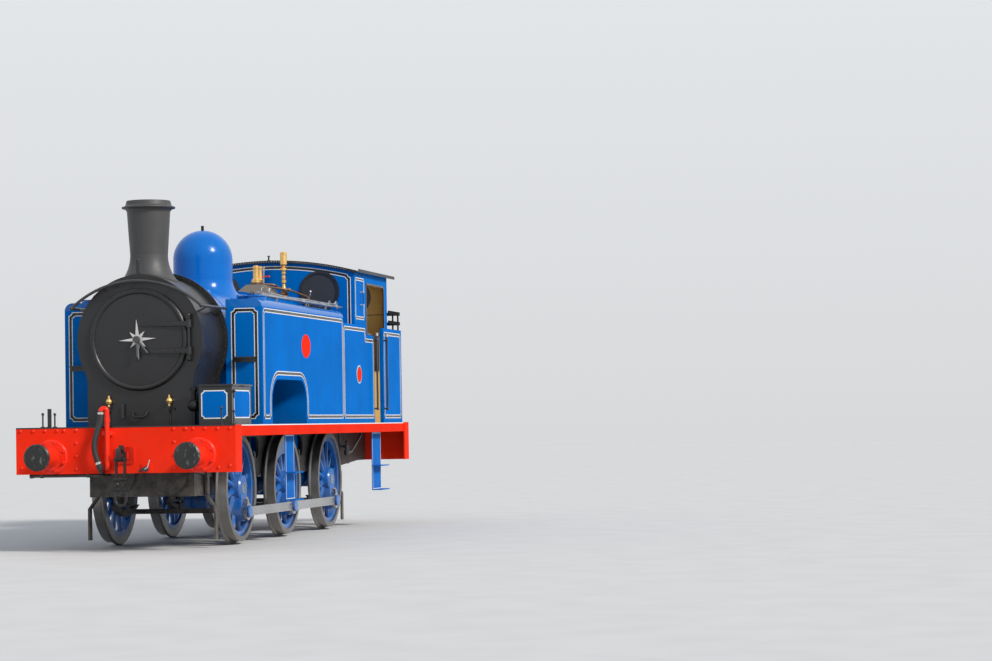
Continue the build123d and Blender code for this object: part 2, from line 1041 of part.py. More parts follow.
def chimney():
    """Tapered barrel with an open bore, flared out to a foot that fits the smokebox."""
    crown_z = boiler_z + smokebox_radius
    foot_low = crown_z - chimney_foot_depth
    foot_edge = crown_z - chimney_foot_drop
    neck_z = above_rail(chimney_neck_height)
    seat_z = above_rail(chimney_top - cap_height)
    spread = chimney_foot_radius - chimney_neck_radius
    rise = neck_z - foot_edge
    flare_radius = (spread ** 2 + rise ** 2) / (2 * spread)
    turn = math.degrees(math.asin(rise / flare_radius))
    flare = CenterArc((chimney_neck_radius + flare_radius, neck_z), flare_radius, 180, turn)
    body = turned_edges([
        flare,
        Line(flare @ 1, (chimney_foot_radius, foot_low)),
        Line((chimney_foot_radius, foot_low), (chimney_bore, foot_low)),
        Line((chimney_bore, foot_low), (chimney_bore, seat_z)),
        Line((chimney_bore, seat_z), (chimney_shoulder_radius, seat_z)),
        Line((chimney_shoulder_radius, seat_z), flare @ 0),
    ])
    x = back(chimney_back)
    reach = chimney_foot_radius + 20
    saddle = bar_x(x - reach, x + reach, 0, boiler_z, smokebox_radius + chimney_flange_thickness)
    flange = saddle & bar_z(foot_low, crown_z + 50, x, 0, chimney_foot_radius)
    flange = flange - bar_z(foot_low - 10, crown_z + 60, x, 0, chimney_bore)
    chimney_body = Pos(x, 0, 0) * body + flange
    return chimney_body - saddle_cut(smokebox_radius, x - reach - 50, x + reach + 50)


def chimney_cap():
    """Moulded cap: a cove up to a half-round rim, and a smaller cove up to the lip."""
    seat_z = above_rail(chimney_top - cap_height)
    top_z = above_rail(chimney_top)
    rim_radius = chimney_shoulder_radius + cap_cove
    rim_low = seat_z + cap_cove
    rim_high = rim_low + cap_rim_depth
    cove = CenterArc((rim_radius, seat_z), cap_cove, 180, -90)
    rim = ThreePointArc(
        (rim_radius, rim_low),
        (rim_radius + cap_rim_depth / 2, (rim_low + rim_high) / 2),
        (rim_radius, rim_high),
    )
    upper_cove = CenterArc((rim_radius, rim_high + cap_upper_cove), cap_upper_cove, 270, -90)
    cap = turned_edges([
        cove,
        rim,
        upper_cove,
        Line(upper_cove @ 1, (cap_lip_radius, top_z)),
        Line((cap_lip_radius, top_z), (chimney_bore, top_z)),
        Line((chimney_bore, top_z), (chimney_bore, seat_z)),
        Line((chimney_bore, seat_z), cove @ 0),
    ])
    return Pos(back(chimney_back), 0, 0) * cap


def dome():
    """Round-topped steam dome with a flared foot and a small finial."""
    top = above_rail(dome_top)
    centre = top - dome_radius
    foot_z = boiler_z + 500
    flare_start = boiler_z + boiler_radius + 95
    with BuildPart() as body:
        with BuildSketch(Plane.XZ):
            with BuildLine():
                arc = CenterArc((0, centre), dome_radius, 0, 90)
                Line((dome_radius, centre), (dome_radius, flare_start))
                flare = ThreePointArc(
                    (dome_radius, flare_start),
                    (dome_radius + 36, flare_start - 120),
                    (dome_radius + 135, flare_start - 235),
                )
                Line(flare @ 1, (dome_radius + 135, foot_z))
                Line((dome_radius + 135, foot_z), (0, foot_z))
                Line((0, foot_z), arc @ 1)
            make_face()
        revolve(axis=Axis.Z)
    solid = Pos(back(dome_back), 0, 0) * body.part
    finial = bar_z(top - 10, top + 58, back(dome_back), 0, 18)
    solid = solid + finial
    x_middle = back(dome_back)
    return solid - saddle_cut(boiler_radius, x_middle - 700, x_middle + 700)


def boiler():
    """Clothed barrel between the smokebox and the firebox."""
    x_low = back(firebox_front_back)
    barrel = bar_x(x_low, smokebox_rear_x, 0, boiler_z, boiler_radius)
    parts = [barrel]
    for distance in band_places:
        x = back(distance)
        parts.append(bar_x(x - 30, x + 30, 0, boiler_z, boiler_radius + 4))
    return join(parts)


def firebox_outline(half, z_low):
    lower = Pos(0, (z_low + boiler_z) / 2) * Rectangle(2 * half, boiler_z - z_low)
    return Pos(0, boiler_z) * Circle(firebox_radius) + lower


def valve_pad():
    """Raised casing on the firebox crown that carries the safety valves."""
    top = above_rail(valve_pad_height)
    low = boiler_z + firebox_radius - 60
    length = valve_column_spacing + 2 * valve_base_radius + 30
    width = 2 * valve_base_radius + 50
    x = back(valve_back)
    grow = 2 * valve_pad_spread * (top - low) / 100
    return loft([
        Plane.XY.offset(low) * Pos(x, 0) * Rectangle(length + grow, width + grow),
        Plane.XY.offset(top) * Pos(x, 0) * Rectangle(length, width),
    ], ruled=True)


def firebox():
    """Round-topped firebox casing, its lower box and ashpan between the frames."""
    x_low = back(firebox_rear_back)
    x_high = back(firebox_front_back)
    upper = along_x(
        firebox_outline(firebox_radius, footplate_top), x_low, x_high - x_low
    )
    lower_half = frame_inner_y - 45
    lower_front = x_high - 20
    lower_rear = back(trailing_axle_back) + axle_radius + 110
    lower = block(
        lower_rear,
        lower_front,
        -lower_half,
        lower_half,
        above_rail(700),
        footplate_top + 5,
    )
    ashpan = loft([
        Plane.XY.offset(above_rail(700)) * Pos((lower_rear + lower_front) / 2, 0)
        * Rectangle(lower_front - lower_rear, 2 * lower_half),
        Plane.XY.offset(above_rail(480)) * Pos((lower_rear + lower_front) / 2 + 60, 0)
        * Rectangle((lower_front - lower_rear) * 0.7, 1.7 * lower_half),
    ], ruled=True)
    solid = upper + lower + ashpan
    hole = bar_x(x_low - 18, x_low + 2, 0, above_rail(1980), 190)
    regulator = bar_x(x_low - 110, x_low + 2, 0, above_rail(2680), 22)
    handle = block(x_low - 110, x_low - 85, -20, 20, above_rail(2440), above_rail(2700))
    return solid + hole + regulator + handle + valve_pad()


# Tanks


def filler_neck(side):
    x = back(filler_back)
    y = side * (tank_inner_side + tank_half_width) / 2
    return x, y


def side_tanks():
    """Left and right tanks, with the arch cut-out and the filler necks."""
    bottom = footplate_top
    top = above_rail(tank_top)
    width = tank_half_width - tank_inner_side
    y_middle = (tank_half_width + tank_inner_side) / 2
    section = Pos(y_middle, (top + bottom) / 2) * Rectangle(width, top - bottom)
    outer_top = section.vertices().sort_by(Axis.Y)[-2:].sort_by(Axis.X)[-1]
    section = fillet(outer_top, tank_edge_radius)
    x_rear = back(tank_rear_back)
    x_front = back(tank_front_back)
    tank = along_x(section, x_rear, x_front - x_rear)
    low_top = above_rail(side_panel_top)
    tail = block(
        back(cab_front_back),
        x_rear,
        tank_inner_side,
        tank_half_width,
        bottom,
        low_top,
    )
    tank = tank + tail
    arch_low = bottom - 10
    arch_high = above_rail(arch_top)
    arch_width = arch_rear_back - arch_front_back
    arch = Pos(back((arch_front_back + arch_rear_back) / 2), (arch_low + arch_high) / 2)
    arch = arch * Rectangle(arch_width, arch_high - arch_low)
    upper = arch.vertices().sort_by(Axis.Y)[-2:]
    arch = fillet(upper, arch_corner_radius)
    tank = tank - along_y(arch, tank_inner_side - 10, width + 20)
    x, y = filler_neck(1)
    neck = bar_z(top - 5, top + filler_height - 20, x, y, filler_radius)
    mouth = bar_z(top - 120, top + filler_height, x, y, filler_radius - filler_wall)
    tank = tank + neck - mouth
    ear_y = tank_inner_side + lid_ear_inset
    pin_z = top + filler_height - 4
    for offset in (-50, 50):
        ear = block(
            x + offset - 8,
            x + offset + 8,
            ear_y - 14,
            ear_y + 14,
            top - 2,
            pin_z + 12,
        )
        tank = tank + ear
    tank = tank + bar_x(x - 58, x + 58, ear_y, pin_z, lid_pin_radius)
    return Compound(children=both_sides(tank))


def tank_steps():
    """One step on the front sheet of each tank."""
    steps = []
    x = back(tank_front_back)
    for side, height in tank_step_table:
        outer = side * (tank_half_width - tank_step_inset)
        inner = outer - side * tank_step_width
        low = above_rail(height) - tank_step_depth
        tread = block(
            x, x + tank_step_reach, min(outer, inner), max(outer, inner), low + 45, low + 60
        )
        apron = block(
            x, x + 12, min(outer, inner), max(outer, inner), low, low + 60
        )
        steps.append(tread + apron)
    return Compound(children=steps)


def tank_lid(side):
    """Hinged filler lid, its knuckle on the boiler side."""
    top = above_rail(tank_top)
    x, y = filler_neck(1)
    lid_low = top + filler_height - 20 + moving_gap
    lid = bar_z(lid_low, lid_low + lid_thickness, x, y, filler_radius + 10)
    ear_y = tank_inner_side + lid_ear_inset
    pin_z = top + filler_height - 4
    arm = block(x - 28, x + 28, ear_y, y, lid_low, lid_low + lid_thickness + 6)
    knuckle = bar_x(x - 28, x + 28, ear_y, pin_z, lid_pin_radius + 7)
    bore_radius = lid_pin_radius + journal_clearance
    lid = lid + arm + knuckle - bar_x(x - 60, x + 60, ear_y, pin_z, bore_radius)
    if side < 0:
        lid = mirrored(lid)
    return lid


# Brass columns


def safety_valve():
    """Two spring columns, one behind the other, on one oval base."""
    seat = above_rail(valve_pad_height)
    base_top = seat + valve_base_height
    top = above_rail(valve_top)
    radius = valve_column_radius
    flange = along_z(
        SlotCenterToCenter(valve_column_spacing, 2 * valve_base_radius), seat, valve_base_height / 3
    )
    body = along_z(
        SlotCenterToCenter(valve_column_spacing, 1.5 * valve_base_radius), seat, valve_base_height
    )
    column = turned([
        (0, base_top - 5),
        (radius + 12, base_top - 5),
        (radius + 12, base_top + 8),
        (radius, base_top + 20),
        (radius, top - 42),
        (radius + 7, top - 36),
        (radius + 7, top - 20),
        (radius - 6, top - 12),
        (radius - 6, top),
        (0, top),
    ])
    half = valve_column_spacing / 2
    valve = flange + body + Pos(half, 0, 0) * column + Pos(-half, 0, 0) * column
    return Pos(back(valve_back), 0, 0) * valve


def whistle():
    """Bell over its bowl, on a beaded stem and a conical valve body."""
    x = back(whistle_back)
    seat = boiler_z + math.sqrt(firebox_radius ** 2 - whistle_side ** 2) - 30
    top = above_rail(whistle_top)
    bell_low = top - whistle_bell_length
    bell = whistle_bell_radius
    # radius, height below the bell's lower edge
    stem_table = [
        (14, 45),
        (bell, 48),
        (bell, 78),
        (20, 92),
        (28, 105),
        (28, 125),
        (18, 150),
        (28, 165),
        (28, 190),
        (18, 200),
        (32, 212),
        (32, 246),
        (20, 262),
        (24, 290),
        (46, 410),
    ]
    outline = [(0, top), (bell - 12, top), (bell, top - 14), (bell, bell_low)]
    for radius, drop in stem_table:
        outline.append((radius, bell_low - drop))
    outline.append((46, seat))
    outline.append((0, seat))
    column = Pos(x, whistle_side, 0) * turned(outline)
    return column - saddle_cut(firebox_radius, x - 200, x + 200)


# Cab


def roof_radius():
    rise = cab_crown_height - cab_corner_height
    return (cab_half_width ** 2 + rise ** 2) / (2 * rise)


def cab_outline(z_low, half):
    """Cab cross section under the arched roof."""
    radius = roof_radius()
    centre_z = above_rail(cab_crown_height) - radius
    tall = Pos(0, (z_low + centre_z + radius) / 2) * Rectangle(
        2 * half, centre_z + radius - z_low
    )
    return tall & Pos(0, centre_z) * Circle(radius)


def spectacle_places():
    return [(side * spectacle_side, above_rail(spectacle_height)) for side in sides]


def cab_front():
    """Front sheet around the firebox, with two round spectacle windows."""
    outline = cab_outline(footplate_top, cab_half_width - cab_sheet)
    outline = outline - firebox_outline(firebox_radius, footplate_top - 10)
    for y, z in spectacle_places():
        outline = outline - Pos(y, z) * Circle(spectacle_radius)
    return along_x(outline, back(cab_front_back) - cab_sheet, cab_sheet)


def cab_back():
    """Rear sheet above the bunker, with two round windows."""
    outline = cab_outline(above_rail(bunker_front_top), cab_half_width - cab_sheet)
    for y, z in spectacle_places():
        outline = outline - Pos(y, z) * Circle(spectacle_radius)
    return along_x(outline, back(cab_rear_back), cab_sheet)


def cab_sides():
    """Side sheets with the keyhole doorway, the lower panels standing proud."""
    x_front = back(cab_front_back)
    x_rear = back(cab_rear_back)
    y_in = cab_half_width - cab_sheet
    upper = block(
        x_rear,
        x_front,
        y_in,
        cab_half_width,
        above_rail(window_bottom - 60),
        above_rail(cab_corner_height),
    )
    x_middle = back((window_front_back + window_rear_back) / 2)
    width = window_rear_back - window_front_back
    height = window_top - window_bottom
    window = Pos(x_middle, above_rail((window_top + window_bottom) / 2))
    window = window * RectangleRounded(width, height, 70)
    upper = upper - along_y(window, y_in - 10, cab_sheet + 20)
    gap = block(
        back(doorway_rear_back),
        back(doorway_front_back),
        y_in - 10,
        cab_half_width + 10,
        above_rail(window_bottom - 100),
        above_rail(window_bottom + 75),
    )
    upper = upper - gap
    sill = above_rail(window_bottom - 10)
    high = above_rail(side_panel_top)
    step_x = back(window_front_back - 215)
    lower_outline = polygon([
        (x_front, footplate_top),
        (x_front, high),
        (step_x, high),
        (step_x - 40, sill),
        (back(doorway_front_back), sill),
        (back(doorway_front_back), footplate_top),
    ])
    lower = along_y(lower_outline, tank_half_width - cab_panel, cab_panel)
    return Compound(children=both_sides(upper + lower))


def cab_roof():
    radius = roof_radius()
    centre_z = above_rail(cab_crown_height) - radius
    half = cab_half_width + roof_overhang
    ring = Pos(0, centre_z) * (Circle(radius + roof_thickness) - Circle(radius))
    window = Pos(0, above_rail(cab_crown_height)) * Rectangle(2 * half, 800)
    x_low = back(roof_rear_back)
    x_high = back(roof_front_back)
    roof = along_x(ring & window, x_low, x_high - x_low)
    gutter_z = centre_z + math.sqrt(radius ** 2 - half ** 2)
    for side in sides:
        gutter = block(
            x_low,
            x_high - 100,
            min(side * (half - 14), side * half),
            max(side * (half - 14), side * half),
            gutter_z + 4,
            gutter_z + 44,
        )
        roof = roof + gutter
    return roof


def window_rims():
    rims = []
    for x, direction in ((back(cab_front_back), 1), (back(cab_rear_back), -1)):
        for y, z in spectacle_places():
            ring = Pos(y, z) * (
                Circle(spectacle_radius + rim_width) - Circle(spectacle_radius - 6)
            )
            x_low = x if direction > 0 else x - rim_thickness
            rims.append(along_x(ring, x_low, rim_thickness))
    return Compound(children=rims)


def window_glass():
    panes = []
    for x, direction in ((back(cab_front_back), 1), (back(cab_rear_back), -1)):
        for y, z in spectacle_places():
            x_low = x - glass_thickness if direction > 0 else x
            panes.append(
                along_x(Pos(y, z) * Circle(spectacle_radius), x_low, glass_thickness)
            )
    return Compound(children=panes)


def bunker():
    """Open coal bunker behind the cab, with two coal rails round its top."""
    x_front = back(doorway_rear_back)
    x_rear = back(bunker_rear_back)
    top = above_rail(side_panel_top)
    y_out = tank_half_width
    outer = block(x_rear, x_front, -y_out, y_out, footplate_top, top)
    y_in = y_out - cab_panel
    cavity = block(
        x_rear + bunker_wall,
        x_front - bunker_wall,
        -y_in,
        y_in,
        footplate_top + bunker_wall,
        top + 10,
    )
    tub = outer - cavity
    cab_cut = block(
        back(cab_rear_back),
        x_front + 10,
        -y_in,
        y_in,
        above_rail(bunker_front_top),
        top + 10,
    )
    tub = tub - cab_cut
    for side in sides:
        sheet_room = block(
            back(cab_rear_back),
            x_front + 10,
            min(side * y_in, side * cab_half_width),
            max(side * y_in, side * cab_half_width),
            above_rail(window_bottom - 60),
            top + 10,
        )
        tub = tub - sheet_room
    x_rail = back(cab_rear_back)
    for height in coal_rail_heights:
        z = above_rail(height)
        for side in sides:
            y = side * (y_out - 20)
            tub = tub + block(x_rear, x_rail, y - 8, y + 8, z, z + coal_rail_size)
        tub = tub + block(
            x_rear, x_rear + 16, -y_out + 12, y_out - 12, z, z + coal_rail_size
        )
    post_top = above_rail(coal_rail_heights[-1]) + coal_rail_size
    for side in sides:
        for x in (x_rear + 20, (x_rear + x_rail) / 2):
            y = side * (y_out - 34)
            tub = tub + block(x, x + 40, y - 8, y + 8, top - 150, post_top)
    for y in (-500, 500):
        tub = tub + block(x_rear + 10, x_rear + 26, y - 20, y + 20, top - 150, post_top)
    return tub


# Box on the left of the running plate


def footplate_box():
    outline = block(
        back(box_rear_back),
        back(box_front_back),
        box_inner_side,
        box_outer_side,
        footplate_top,
        above_rail(box_top),
    )
    cavity = block(
        back(box_rear_back) + box_wall,
        back(box_front_back) - box_wall,
        box_inner_side + box_wall,
        box_outer_side - box_wall,
        footplate_top + box_wall,
        above_rail(box_top) + 5,
    )
    body = outline - cavity
    pin_y = box_inner_side - box_pin_inset
    pin_z = above_rail(box_top) + moving_gap
    x_middle = back((box_front_back + box_rear_back) / 2)
    for offset in (-200, 200):
        x = x_middle + offset
        for step in (-45, 45):
            ear = block(
                x + step - 6,
                x + step + 6,
                pin_y - 12,
                box_inner_side,
                pin_z - 50,
                pin_z + 7,
            )
            body = body + ear
        body = body + bar_x(x - 50, x + 50, pin_y, pin_z, box_pin_radius)
    return body


def box_lid():
    low = above_rail(box_top) + moving_gap
    lid = block(
        back(box_rear_back) - box_lid_lip,
        back(box_front_back) + box_lid_lip,
        box_inner_side + 4,
        box_outer_side + box_lid_lip,
        low,
        low + box_lid_thickness,
    )
    pin_y = box_inner_side - box_pin_inset
    pin_z = low
    x_middle = back((box_front_back + box_rear_back) / 2)
    for offset in (-200, 200):
        x = x_middle + offset
        arm = block(x - 30, x + 30, pin_y, box_inner_side + 20, low + 8, low + 18)
        lid = lid + arm + bar_x(x - 30, x + 30, pin_y, pin_z, 2 * box_pin_radius + 1)
        bore_radius = box_pin_radius + journal_clearance
        lid = lid - bar_x(x - 60, x + 60, pin_y, pin_z, bore_radius)
    return lid


# Brake gear


def brake_gear():
    """Blocks behind each wheel on hangers, joined by cross beams."""
    middle_y = tyre_outer_y - 55
    outer = tread_radius + block_gap + 60
    inner = tread_radius + block_gap
    parts = []
    for name, x in axle_table:
        ring = Circle(outer) - Circle(inner)
        window = Pos(-outer, -60) * Rectangle(260, 330)
        shoe = Pos(x, 0, axle_z) * along_y(
            ring & window, middle_y - block_width / 2, block_width
        )
        x_hang = x - outer - 10
        top_z = axle_z + 420
        low_z = axle_z - 320
        hanger = block(
            x_hang - 35,
            x_hang + 35,
            middle_y - hanger_thickness / 2,
            middle_y + hanger_thickness / 2,
            low_z,
            top_z,
        )
        pin = bar_y(frame_outer_y, middle_y + 20, x_hang, top_z - 40, 28)
        half = shoe + hanger + pin
        beam_bar = block(x_hang - 25, x_hang + 25, -middle_y, middle_y, low_z, low_z + 60)
        parts.append(join(both_sides(half)) + beam_bar)
    return Compound(children=parts)


# Handrails and pipes


def entry_rail(x, side):
    """Upright rail beside a doorway, on two short pillars."""
    y = side * (tank_half_width + entry_rail_reach)
    low = above_rail(entry_rail_bottom)
    high = above_rail(entry_rail_top)
    rail = bar_z(low, high, x, y, 14)
    rail = rail + bar_z(high - 40, high, x, y, entry_rail_cap_radius)
    for z in (low + 20, high - entry_rail_pillar_drop):
        pillar = bar_y(
            min(side * tank_half_width, y), max(side * tank_half_width, y), x, z, 11
        )
        rail = rail + pillar + Pos(x, y, z) * Sphere(22)
    return rail


def handrails():
    """Arch over the smokebox front, rails to the tanks, cab side grips."""
    radius = 17
    rail_z = above_rail(2750)
    crown_z = above_rail(3050)
    x_front = smokebox_front_x + 112
    y_side = 775
    x_tank = back(tank_front_back)
    arch_path = ThreePointArc(
        (x_front, -y_side, rail_z), (x_front, 0, crown_z), (x_front, y_side, rail_z)
    )
    section = Plane(origin=arch_path @ 0, z_dir=arch_path % 0) * Circle(radius)
    parts = [sweep(section, path=arch_path)]
    for side in sides:
        parts.append(bar_x(x_tank, x_front, side * y_side, rail_z, radius))
        parts.append(Pos(x_front, side * y_side, rail_z) * Sphere(radius + 8))
        for x in (x_tank + 260, x_tank + 720):
            reach = math.hypot(y_side, rail_z - boiler_z)
            share = smokebox_radius / reach
            foot = (x, side * y_side * share, boiler_z + (rail_z - boiler_z) * share)
            parts.append(bar_between(foot, (x, side * y_side, rail_z), 12))
    for y in (-420, 0, 420):
        rise = crown_z - rail_z
        arch_radius = (y_side ** 2 + rise ** 2) / (2 * rise)
        z = crown_z - arch_radius + math.sqrt(arch_radius ** 2 - y ** 2)
        parts.append(bar_x(smokebox_front_x, x_front, y, z, 12))
    solids = [join(parts)]
    for side in sides:
        x = back(grip_back)
        y = side * (cab_half_width + grip_reach)
        low = above_rail(grip_bottom)
        high = low + grip_length
        grip = bar_z(low, high, x, y, 12)
        for z in (low + 15, high - 15):
            low_y = min(side * cab_half_width, y)
            high_y = max(side * cab_half_width, y)
            grip = grip + bar_y(low_y, high_y, x, z, 9)
        solids.append(grip)
        for distance in (doorway_front_back - entry_rail_inset, doorway_rear_back + entry_rail_inset):
            solids.append(entry_rail(back(distance), side))
    return Compound(children=solids)


# Brake pipe and hose: heights above the rail, places from the beam's face
hose_diameter = 65
pipe_radius = 28
pipe_side = -190
pipe_reach = 55
pipe_top = 1560
pipe_length = 660
pipe_bracket_drop = 245
collar_drop = 102
neck_turn = 32
neck_reach = 20
# Route of a hose from the swan neck to its plug: ahead of the beam, side, height
hose_route = [
    (pipe_reach + neck_reach, pipe_side - 2 * neck_turn, pipe_top),
    (pipe_reach + neck_reach, pipe_side - 2 * neck_turn, 1490),
    (79, -268, 1415),
    (90, -300, 1320),
    (100, -327, 1215),
    (100, -327, 1120),
    (93, -303, 1030),
    (84, -277, 955),
]


def at_ends(shape):
    """Copy a fitting made ahead of x = 0 to both beams."""
    front = Pos(front_x, 0, 0) * shape
    rear = Rot(0, 0, 180) * front
    return [front, rear]


def vacuum_pipe():
    """Upright brake pipe with its swan neck, on a bracket."""
    top = above_rail(pipe_top)
    pipe = bar_z(top - pipe_length, top, pipe_reach, pipe_side, pipe_radius)
    neck_rise = math.hypot(neck_turn, neck_reach / 2)
    neck_path = ThreePointArc(
        (pipe_reach, pipe_side, top),
        (pipe_reach + neck_reach / 2, pipe_side - neck_turn, top + neck_rise),
        (pipe_reach + neck_reach, pipe_side - 2 * neck_turn, top),
    )
    neck_start = Plane(origin=neck_path @ 0, z_dir=neck_path % 0)
    neck = sweep(neck_start * Circle(pipe_radius - 1), path=neck_path)
    collar_z = top - collar_drop
    collar = bar_z(collar_z - 18, collar_z + 18, pipe_reach, pipe_side, pipe_radius + 5)
    bracket_z = top - pipe_bracket_drop
    bracket = block(
        0,
        pipe_reach,
        pipe_side - 60,
        pipe_side + 60,
        bracket_z - 25,
        bracket_z + 25,
    )
    return pipe + neck + collar + bracket


def hose_plug():
    """Dummy plug that takes the hose's lower end, on a lug from the beam."""
    end = Vector(*hose_route[-1]) + Vector(0, 0, flange_depth)
    before = Vector(*hose_route[-2]) + Vector(0, 0, flange_depth)
    reach = (end - before).normalized() * 55
    stub = bar_between(tuple(end), tuple(end + reach), hose_diameter / 2 + 6)
    tip = end + reach
    lug = block(0, tip.X, tip.Y - 20, tip.Y + 20, tip.Z - 45, tip.Z - 20)
    post = block(tip.X - 15, tip.X + 15, tip.Y - 20, tip.Y + 20, tip.Z - 45, tip.Z)
    return stub + lug + post


def hose():
    """Hose tube of straight runs joined by tangent arcs."""
    points = [(x, y, above_rail(z)) for x, y, z in hose_route]
    radii = []
    for index in range(1, len(points) - 1):
        before = Vector(*points[index]) - Vector(*points[index - 1])
        after = Vector(*points[index + 1]) - Vector(*points[index])
        half_turn = math.radians(before.get_angle(after)) / 2
        shorter = min(before.length, after.length)
        radii.append(0.45 * shorter / math.tan(half_turn))
    print("hose bend radii", [round(r) for r in radii])
    path = FilletPolyline(*points, radius=radii)
    section = Plane(origin=path @ 0, z_dir=path % 0) * Circle(hose_diameter / 2)
    print("hose length", round(path.length))
    return sweep(section, path=path)


# Small fittings


def lubricators():
    """Two brass oil cups on the front plate and one black globe beside them."""
    solids = []
    for side in sides:
        y = side * cup_side
        stem_z = above_rail(cup_height)
        stem = bar_x(smokebox_front_x, smokebox_front_x + cup_reach, y, stem_z, 14)
        low = above_rail(cup_height) - cup_radius
        cup = turned([
            (0, low - 22),
            (12, low - 22),
            (12, low + 4),
            (cup_radius * 0.7, low + cup_radius * 0.35),
            (cup_radius, low + cup_radius),
            (cup_radius * 0.7, low + cup_radius * 1.65),
            (13, low + cup_radius * 2),
            (9, low + cup_radius * 2 + 30),
            (0, low + cup_radius * 2 + 30),
        ])
        solids.append(stem + Pos(smokebox_front_x + cup_reach, y, 0) * cup)
    globe_x = smokebox_front_x + globe_reach
    globe_y = box_inner_side - globe_clearance - globe_radius
    globe_z = above_rail(globe_height)
    top = above_rail(globe_top)
    globe = Pos(globe_x, globe_y, globe_z) * Sphere(globe_radius)
    stem = bar_z(footplate_top, top - 20, globe_x, globe_y, globe_radius * 0.36)
    cap = bar_z(top - 50, top, globe_x, globe_y, globe_radius * 0.58)
    solids.append(globe + stem + cap)
    return Compound(children=solids)


def fire_irons():
    """Long rods lying on brackets above the left tank."""
    top = above_rail(tank_top)
    x_front = back(filler_back + filler_radius + 80)
    x_rear = back(cab_front_back - 68)
    y = tank_half_width - 200
    z = top + 78
    parts = [bar_x(x_rear, x_front, y, z, 15), bar_x(x_rear + 300, x_front - 200, y - 60, z, 12)]
    for distance in (2800, 4200, 5200):
        x = back(distance)
        parts.append(block(x - 12, x + 12, y - 80, y + 20, z - 24, z - 10))
        parts.append(block(x - 12, x + 12, y - 12, y + 8, top, z - 10))
    return join(parts)


def write(name, shape):
    export_step(shape, "parts/" + name + ".step")


os.makedirs("parts", exist_ok=True)
for axle_name, axle_x in axle_table:
    wheels, tyres = wheelset(axle_name, axle_x)
    write(axle_name + "_wheels", wheels)
    write(axle_name + "_tyres", tyres)
write("left_coupling_rod", coupling_rod(1))
write("right_coupling_rod", coupling_rod(-1))
write("frames", frames())
write("axleboxes", axleboxes())
write("front_beam", beam(1))
write("rear_beam", beam(-1))
write("buffer_stocks", at_buffers(buffer_stock()))
write("buffer_heads", at_buffers(buffer_head()))
write("drawgear", drawgear())
write("footplate", footplate())
write("valences", valences())
write("lamp_irons", lamp_irons())
write("cylinder_block", cylinder_block())
write("footsteps", footsteps())
write("smokebox", smokebox())
write("smokebox_door", smokebox_door())
write("door_star", door_star())
write("chimney", chimney())
write("chimney_cap", chimney_cap())
write("blast_pipe", blast_pipe())
write("dome", dome())
write("boiler", boiler())
write("firebox", firebox())
write("side_tanks", side_tanks())
write("tank_steps", tank_steps())
write("left_tank_lid", tank_lid(1))
write("right_tank_lid", tank_lid(-1))
write("safety_valve", safety_valve())
write("whistle", whistle())
write("cab_front", cab_front())
write("cab_back", cab_back())
write("cab_sides", cab_sides())
write("cab_roof", cab_roof())
write("window_rims", window_rims())
write("window_glass", window_glass())
write("bunker", bunker())
write("footplate_box", footplate_box())
write("box_lid", box_lid())
write("brake_gear", brake_gear())
write("handrails", handrails())
write("vacuum_pipes", Compound(children=at_ends(vacuum_pipe())))
write("hose_plugs", Compound(children=at_ends(hose_plug())))
front_hose, rear_hose = at_ends(hose())
write("front_brake_hose", front_hose)
write("rear_brake_hose", rear_hose)
write("lubricators", lubricators())
write("fire_irons", fire_irons())
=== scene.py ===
import bmesh
import bpy
import math

from mathutils import Matrix, Vector
from mathutils.bvhtree import BVHTree


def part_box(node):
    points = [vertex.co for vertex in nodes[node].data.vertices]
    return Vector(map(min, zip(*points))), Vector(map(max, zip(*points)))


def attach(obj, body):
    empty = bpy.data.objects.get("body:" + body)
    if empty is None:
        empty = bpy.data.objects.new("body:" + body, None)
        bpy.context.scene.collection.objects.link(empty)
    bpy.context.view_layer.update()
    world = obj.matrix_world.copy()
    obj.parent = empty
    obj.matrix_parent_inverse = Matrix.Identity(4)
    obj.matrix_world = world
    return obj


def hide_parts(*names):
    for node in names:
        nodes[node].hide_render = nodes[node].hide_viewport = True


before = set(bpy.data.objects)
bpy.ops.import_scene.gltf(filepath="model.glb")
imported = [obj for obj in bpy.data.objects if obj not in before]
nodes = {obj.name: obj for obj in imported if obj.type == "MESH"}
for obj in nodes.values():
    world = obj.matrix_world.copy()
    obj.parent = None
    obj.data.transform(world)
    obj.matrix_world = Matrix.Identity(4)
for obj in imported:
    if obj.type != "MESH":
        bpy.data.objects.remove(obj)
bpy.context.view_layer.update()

# Places read from the frame, in metres
flange_depth = 0.028
beam_low, beam_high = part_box("front_beam")
beam_face_x = beam_high.x
footplate_top = beam_high.z
tank_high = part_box("side_tanks")[1]
smoke_low, smoke_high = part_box("smokebox")
boiler_low, boiler_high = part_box("boiler")
boiler_z = (boiler_low.z + boiler_high.z) / 2
bunker_rear_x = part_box("bunker")[0].x
side_names = ((1, "left"), (-1, "right"))


def back(distance):
    """Place along X of something this far behind the front beam's face."""
    return beam_face_x - distance


def above_rail(height):
    return height + flange_depth


def at(distance, side, height):
    """Point this far behind the beam's face, to the left, and above the rail."""
    return (back(distance), side, above_rail(height))


def on_side(distance, height):
    """Point of a side sheet, as (x, z)."""
    return (back(distance), above_rail(height))


def add_object(name, data):
    """Make an object and put it in the scene."""
    obj = bpy.data.objects.new(name, data)
    bpy.context.scene.collection.objects.link(obj)
    return obj


